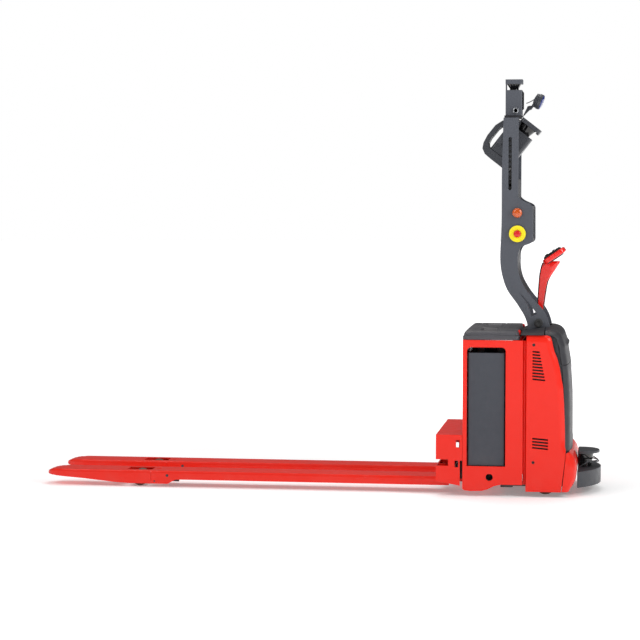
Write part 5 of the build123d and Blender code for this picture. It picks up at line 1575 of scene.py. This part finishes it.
@dataclass
class EmergencyStops:
    """Yellow collars and red mushroom heads on both faces of the mast, with the amber domes above."""

    x: float = 391.0
    z: float = 1307.0
    lamp_z: float = 1412.0
    face: float = 174.2
    collar: tuple[tuple[float, float], ...] = (
        (17.5, -0.2), (17.5, 1.6), (20, 2.6), (24, 2.8), (29, 2.0), (36, 2.0), (39.5, 2.8), (41.4, 2.2),
        (42, 0.6), (41.6, 0),
    )
    head: tuple[tuple[float, float], ...] = (
        (0, -4), (8, -4), (8, 5), (13, 5.6), (17, 8), (18, 11), (18, 15), (16.6, 19), (12.5, 21.2),
        (6, 21.8), (0, 21.8),
    )
    dome: tuple[tuple[float, float], ...] = (
        (25, 0), (25, 3), (24, 7), (20.5, 11.6), (14, 14.6), (7, 15.7), (0, 15.8)
    )

    def build(self) -> None:
        """Makes collars, heads and domes."""
        collars, domes = [], []
        for side in Side:
            axis = (0, side.value, 0)
            at = (self.x, side.value * self.face, self.z)
            collars.append(lathe(f"collar_{side.word}", self.collar, at, axis, 96))
            domes.append(
                lathe(
                    f"dome_{side.word}", self.dome, (self.x - 1, side.value * self.face, self.lamp_z),
                    axis, 12
                )
            )
            head = lathe(f"estop_head_{side.word}", self.head, at, axis, 72)
            dress(head, BUTTON_RED, f"estop_{side.word}", [f"estop_button_{side.word}"])
        dress(join("estop_rings", collars), YELLOW, "chassis", ["estop_collars"])
        dress(join("amber_domes", domes), AMBER, "chassis", ["amber_lamps"])


@dataclass
class SpotLamp:
    """Finned lamp housing with its neck and blade, and a domed blue lens."""

    rear: tuple[float, float, float] = (466.5, 0.0, 1986.0)
    slope: float = 22.5
    housing: tuple[tuple[float, float], ...] = (
        (0, -3), (14, -3), (24, 0), (33, 2), (36, 5), (36, 6.5), (33, 7.5), (33, 9.5), (37, 10.5),
        (38, 13), (38, 14.5),
        (35, 15.5), (35, 17.5), (38.8, 18.5), (39.6, 22), (39.6, 34), (39, 36), (36.4, 36), (36.4, 31),
        (0, 30),
    )
    lens: tuple[tuple[float, float], ...] = (
        (36, 32), (38.4, 36.4), (37.6, 39), (33, 42), (24, 44.6), (12, 46), (0, 46.4)
    )

    def build(self) -> None:
        """Makes the housing and the lens."""
        a = math.radians(self.slope)
        axis = (math.cos(a), 0, -math.sin(a))
        shell = lathe("lamp_shell", self.housing, self.rear, axis, 80)
        neck = tube(
            "lamp_neck", np.array([(447, 0, 1943), (455, 0, 1952), (463, 0, 1964), (470, 0, 1976)], float),
            6.5, 16
        )
        blade = tube(
            "lamp_blade",
            np.array([(424, 0, 1968), (436, 0, 1972), (450, 0, 1979), (468, 0, 1990)], float), 5.0, 14,
            0.45
        )
        dress(
            join("spot_lamp_housing", [shell, neck, blade]), SCANNER_DARK, "spot_lamp", ["spot_lamp"],
        )
        dress(
            lathe("spot_lamp_lens", self.lens, self.rear, axis, 80), BLUE, "spot_lamp", ["spot_lens"],
        )


@dataclass
class SmallFittings:
    """Ring of the scanner's push button, mast pivot caps, slot liners, lifting-hole cups and joint strips."""

    cap: tuple[tuple[float, float], ...] = (
        (22, -1), (22, 2.4), (20.5, 4.2), (15, 5), (9, 5), (8, 3.6), (4, 3.4), (0, 3.4)
    )
    ring: tuple[tuple[float, float], ...] = (
        (9.3, 0), (9.3, 3.2), (10.6, 4), (13.4, 3.8), (14.8, 2.6), (15, 0)
    )
    ring_at: tuple[float, float, float] = (373, -48.4, 1930)
    cap_at: tuple[float, float, float] = (500, 174.2, 858)
    hole_at: tuple[float, float] = (267, 97)
    liner_y: float = 150.0
    liner: tuple[float, float, float, float] = (336, 368, 1515, 1808)
    joint_y: float = 337.0
    joint: tuple[float, float, float, float] = (431.5, 446.5, 62, 780)
    cup: tuple[tuple[float, float], ...] = (
        (0, 310), (17.2, 310), (17.2, 358.6), (17.45, 358.6), (17.45, 309), (0, 309)
    )

    def build(self) -> None:
        """Makes the fittings of both sides."""
        dress(lathe("scanner_button_ring", self.ring, self.ring_at, (0, -1, 0), 64), STEEL, "chassis")
        caps, cups, liners, strips = [], [], [], []
        holes = [
            rounded([(347, z), (357, z), (357, z + 14), (347, z + 14)], 3) for z in range(1545, 1790, 26)
        ]
        for side in Side:
            s = side.value
            caps.append(
                lathe(
                    f"cap_{s}", self.cap, (self.cap_at[0], s * self.cap_at[1], self.cap_at[2]), (0, s, 0),
                    48
                )
            )
            cups.append(lathe(f"cup_{s}", self.cup, (self.hole_at[0], 0, self.hole_at[1]), (0, s, 0), 48))
            strip = self.panel(self.liner, 4)
            liners.append(
                sheet_piece(
                    f"liner_{s}", strip,
                    lambda p: np.stack([p[:, 0], np.full(len(p), s * self.liner_y), p[:, 1]], 1), 1.6,
                    holes, 12.0
                )
            )
            joint = self.panel(self.joint, 1)
            strips.append(
                sheet_piece(
                    f"strip_{s}", joint,
                    lambda p: np.stack([p[:, 0], np.full(len(p), s * self.joint_y), p[:, 1]], 1), 3.0, (),
                    30.0
                )
            )
        dress(join("mast_pivot_caps", caps), BLACK_PLASTIC, "chassis")
        dress(join("lifting_hole_cups", cups), BLACK_PLASTIC, "chassis")
        dress(join("mast_slot_liners", liners), BLACK_PLASTIC, "chassis")
        dress(join("cover_joint_strips", strips), RED, "chassis")

    def panel(self, span: tuple[float, float, float, float], radius: float) -> Array:
        """Rectangle with round corners from its X and Z limits."""
        x0, x1, z0, z1 = span
        return rounded([(x0, z0), (x1, z0), (x1, z1), (x0, z1)], radius)


@dataclass
class FrontScannerGuard:
    """Bent wire over the front scanner's window."""

    wire: float = 2.6
    passes: int = 6
    points: int = 80
    path: tuple[tuple[float, float, float], ...] = (
        (706, -150, 128), (735, -138, 146), (768, -108, 158), (796, -60, 147), (806, 0, 143),
        (796, 60, 147), (768, 108, 158),
        (735, 138, 146), (706, 150, 128),
    )

    def build(self) -> None:
        """Makes the wire."""
        points = np.array(self.path)
        t = np.arange(len(points))
        fine = np.linspace(0, len(points) - 1, self.points)
        smooth = np.stack([np.interp(fine, t, points[:, i]) for i in range(3)], 1)
        for _ in range(self.passes):
            smooth[1:-1] = (smooth[:-2] + 2 * smooth[1:-1] + smooth[2:]) / 4
        dress(tube("front_scanner_wire", smooth, self.wire, 14), DARK_STEEL, "chassis")


@dataclass
class TillerNeck:
    """Moulded neck of the tiller, red at the front with a black spine behind, up to the grip head."""

    rows: tuple[tuple[float, float, float, float, float], ...] = (
        (488, 955, 526, 955, 19), (488, 975, 528, 968, 21), (489, 1001, 531, 1001, 22),
        (491, 1031, 536, 1032, 24),
        (494, 1060, 543, 1062, 26), (498, 1090, 558, 1092, 28), (502, 1122, 574, 1116, 29),
        (505, 1140, 588, 1138, 29),
        (511, 1155, 600, 1156, 28), (520, 1164, 600, 1166, 24),
    )
    power: float = 0.62

    def loft(self, name: str, low: float, high: float, wide: float) -> bpy.types.Object:
        """Skin through superellipse sections that span part of each row.

        Args:
            name: Piece name.
            low: Where the sections start, as a share of the row from its rear point.
            high: Where they end.
            wide: Factor on the half width.

        Returns:
            The new object.
        """
        table = np.array(self.rows, float)
        t = np.linspace(0, len(table) - 1, 60)
        table = np.stack([np.interp(t, np.arange(len(table)), table[:, i]) for i in range(5)], 1)
        rear, ahead = table[:, 0:2], table[:, 2:4]
        a, b = rear + (ahead - rear) * low, rear + (ahead - rear) * high
        middle, half = (a + b) / 2, (b - a) / 2
        turn = np.linspace(0, 2 * math.pi, 48, endpoint=False)
        c = np.sign(np.cos(turn)) * np.abs(np.cos(turn)) ** self.power
        s = np.sign(np.sin(turn)) * np.abs(np.sin(turn)) ** self.power
        x = middle[:, 0, None] + half[:, 0, None] * c
        z = middle[:, 1, None] + half[:, 1, None] * c
        y = wide * table[:, 4, None] * s
        return skin(name, np.stack([x, y, z], -1))

    def build(self) -> None:
        """Makes the red body and the black spine."""
        dress(self.loft("tiller_neck", 0.08, 1.0, 1.0), RED_SHELL, "tiller")
        dress(self.loft("tiller_spine", -0.01, 0.34, 0.8), BLACK_PLASTIC, "tiller")


@dataclass
class Console:
    """Dark top between the lid and the front cover: two falling wings and a middle panel."""

    x0: float = 418.5
    x1: float = 534.0
    reach: float = 344.0
    heights: tuple[tuple[float, float], ...] = ((418, 822), (430, 826), (470, 831), (534, 840))
    fall: float = 27.0
    wall: float = 4.0

    def surface(self, p: Array) -> Array:
        """Height read from a short table, less a fall that grows towards the sides.

        Args:
            p: Points of the plan.

        Returns:
            The places in space.
        """
        x, y = p[:, 0], p[:, 1]
        table = np.array(self.heights)
        z = np.interp(x, table[:, 0], table[:, 1]) - self.fall * (np.abs(y) / self.reach) ** 4
        return np.stack([x, y, np.maximum(z, 807.6 + self.wall * (np.abs(y) > 320))], 1)

    def build(self) -> None:
        """Makes the three panels."""
        panels = []
        for y0, y1 in ((-self.reach, -177.0), (177.0, self.reach)):
            line = rounded([(self.x0, y0), (self.x1, y0), (self.x1, y1), (self.x0, y1)], 5)
            panels.append(sheet_piece(f"wing_{y0:.0f}", line, self.surface, self.wall, (), 9.0, 7.0))
        middle = [
            (self.x0, -148), (self.x1, -148), (self.x1, -52), (440, -52), (440, 52), (self.x1, 52),
            (self.x1, 148), (self.x0, 148)
        ]
        panels.append(sheet_piece("middle", rounded(middle, 4), self.surface, self.wall, (), 9.0, 7.0))
        console = join("console_top", panels)
        dress(console, COVER_DARK, "chassis", ["console_cover"])
        soften(console, 1.0)


# ------------------------------------------------------------------ CAD nodes that stay


@dataclass
class KeptNodes:
    """CAD nodes whose shapes are right as they are, with their finish and edge rounding."""

    looks: tuple[tuple[Finish | Lens, float, tuple[str, ...]], ...] = (
        (
            POLYURETHANE, 0.8,
            ("load_roller_left", "load_roller_right", "caster_wheel_left", "caster_wheel_right")
        ),
        (DARK_STEEL, 0.8, ("caster_fork_left", "caster_fork_right", "tiller_base")),
        (BLACK_PLASTIC, 0.5, ("horn_button", "cover_bolts")),
        (STEEL, 0.5, ("lift_button", "lower_button")),
        (FORK_RED, 0.8, ("load_arms",)),
        (DARK_STEEL, 0.6, ("push_rods", "rocker_shaft")),
        (RED, 1.2, ("fork_carriage",)),
        (RED, 1.5, ("battery_box",)),
        (STEEL, 0.4, ("battery_rollers", "lift_rods")),
        (SLATE, 2, ("battery_pack",)),
        (FRAME_BLACK, 0.6, ("lift_cylinders",)),
        (FRAME_BLACK, 1, ("drive_frame",)),
        (DARK_STEEL, 0.3, ("steer_pinion",)),
        (FRAME_BLACK, 0.8, ("steer_motor",)),
        (CAST_IRON, 0.8, ("drive_unit",)),
        (RUBBER, 1, ("drive_wheel",)),
        (CAST_IRON, 1, ("hydraulic_unit",)),
        (BOARD_GREEN, 1, ("electronics",)),
        (MAST_GREY, 1.5, ("mast_plates",)),
        (COVER_DARK, 1, ("mast_webs",)),
        (SCREEN, 0.5, ("display_screen",)),
        (MAST_GREY, 1.2, ("nav_body",)),
        (STEEL, 0.6, ("nav_rotor",)),
        (OPTIC_BLACK, 0.6, ("nav_optic", "tilt_scanner_optic")),
        (MAST_GREY, 1, ("nav_cap",)),
        (OPTIC_BLACK, 0.4, ("nav_button",)),
        (SCANNER_DARK, 0.8, ("lamp_bracket",)),
        (SCANNER_DARK, 1.2, ("tilt_scanner_body", "tilt_scanner_guard")),
        (SCANNER_DARK, 1, ("front_scanner_skirt", "front_scanner_cap")),
        (OPTIC_BLACK, 1, ("front_scanner_body",)),
        (BLACK_PLASTIC, 1, ("tiller_arm", "throttle_wing")),
        (RED_SHELL, 1.5, ("tiller_shell",)),
        (RED_SHELL, 1, ("belly_button",)),
    )

    def build(self) -> None:
        """Gives each node its finish and rounds its edges."""
        for finish, width, names in self.looks:
            for name in names:
                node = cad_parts[name]
                dress(node, finish)
                soften(node, width, weld=True)


# ------------------------------------------------------------------ floor, lights and camera


@dataclass
class Studio:
    """Pale floor, soft lights and the camera."""

    eye: tuple[float, float, float] = (1.49355, -10.27888, 1.48153)
    yaw: float = 8.41
    pitch: float = 3.46
    lens: float = 112.5
    floor_reach: float = 60.0
    floor_glow: float = 0.22
    sky: float = 0.40
    mirrored_sky: float = 0.16
    aim: tuple[float, float, float] = (0.6, 0.0, 0.7)
    lamps: tuple[tuple[str, tuple[float, float, float], float, float], ...] = (
        ("key", (-3.5, -4.5, 5.5), 3.0, 125.0),
        ("fill", (5.0, -2.4, 3.2), 1.8, 95.0),
        ("top", (0.5, 0.8, 5.5), 3.5, 120.0),
    )

    def build(self) -> None:
        """Makes the floor, the world, the lights and the camera."""
        self.floor()
        self.world()
        self.lights()
        self.camera()

    def floor(self) -> None:
        """A wide flat sheet, its points on rings that widen outwards."""
        r = np.concatenate([[0.0], np.geomspace(1.0, self.floor_reach, 14)])
        a = np.linspace(0, 2 * math.pi, 64, endpoint=False)
        points = np.stack([np.outer(r, np.cos(a)), np.outer(r, np.sin(a)), np.zeros((len(r), len(a)))], -1)
        faces = grid_faces(len(r) - 1, len(a), closed_cols=True) + len(a)
        mesh = bpy.data.meshes.new("studio_floor")
        fan = [[0, len(a) + i, len(a) + (i + 1) % len(a)] for i in range(len(a))]
        mesh.from_pydata(points.reshape(-1, 3).tolist(), [], faces.tolist() + fan)
        mesh.validate()
        floor = bpy.data.objects.new("studio_floor", mesh)
        bpy.context.scene.collection.objects.link(floor)
        material = bpy.data.materials.new("pale_floor")
        material.use_nodes = True
        graph = Graph(material.node_tree)
        shader = graph.tree.nodes["Principled BSDF"]
        where = graph.add("ShaderNodeTexCoord").outputs["Object"]
        tone = graph.spread(graph.noise(where, 0.8, 4.0), 0.3, 0.7, 0.93, 0.95)
        graph.tree.links.new(
            graph.add("ShaderNodeCombineColor", {0: tone, 1: tone, 2: tone}).outputs[0],
            shader.inputs["Base Color"]
        )
        shader.inputs["Roughness"].default_value = 0.9
        shader.inputs["Specular IOR Level"].default_value = 0.1
        shader.inputs["Emission Color"].default_value = (1.0, 1.0, 1.0, 1.0)
        apart = graph.add("ShaderNodeVectorMath", {0: where}, operation="LENGTH").outputs["Value"]
        graph.tree.links.new(
            graph.spread(apart, 1.6, 5.0, self.floor_glow, 1.0), shader.inputs["Emission Strength"]
        )
        mesh.materials.append(material)

    def world(self) -> None:
        """Even pale surroundings."""
        world = bpy.data.worlds.new("studio")
        world.use_nodes = True
        graph = Graph(world.node_tree)
        background = world.node_tree.nodes["Background"]
        background.inputs[0].default_value = (1.0, 1.0, 1.0, 1.0)
        seen = graph.add("ShaderNodeLightPath").outputs["Is Camera Ray"]
        mirrored = graph.add("ShaderNodeLightPath").outputs["Is Glossy Ray"]
        base = graph.spread(mirrored, 0.0, 1.0, self.sky, self.mirrored_sky)
        graph.tree.links.new(graph.spread(seen, 0.0, 1.0, base, 1.0), background.inputs[1])
        bpy.context.scene.world = world
        bpy.context.scene.view_settings.view_transform = "Standard"

    def lights(self) -> None:
        """Three wide soft lights that look at the middle of the truck."""
        for name, at, size, power in self.lamps:
            data = bpy.data.lights.new(name, "AREA")
            data.size = size
            data.energy = power
            light = bpy.data.objects.new(name, data)
            bpy.context.scene.collection.objects.link(light)
            light.location = at
            aim = np.array(self.aim) - np.array(at)
            light.rotation_mode = "QUATERNION"
            light.rotation_quaternion = self.facing(aim)

    def facing(self, aim: Array) -> tuple[float, float, float, float]:
        """Turn that points an object's -Z along aim with its Y upwards."""
        return tuple(Vector(aim.tolist()).to_track_quat("-Z", "Y"))

    def camera(self) -> None:
        """Long lens from the near side, turned a little and looking slightly down."""
        data = bpy.data.cameras.new("camera")
        data.lens = self.lens
        data.sensor_width = 36.0
        data.clip_end = 200.0
        camera = bpy.data.objects.new("camera", data)
        bpy.context.scene.collection.objects.link(camera)
        camera.location = self.eye
        camera.rotation_euler = (math.radians(90 - self.pitch), 0.0, math.radians(self.yaw))
        bpy.context.scene.camera = camera


def main() -> None:
    """Builds every part of the scene in order."""
    logging.basicConfig(level=logging.INFO, format="%(name)s %(message)s")
    Studio().build()
    parts = (
        SideCovers(), BatteryLid(), FrontCover(), Bumper(), Forks(), EmergencyStops(), SpotLamp(),
        SmallFittings(), FrontScannerGuard(), TillerNeck(), Console(), KeptNodes()
    )
    for part in parts:
        part.build()


if __name__ == "__main__":
    main()
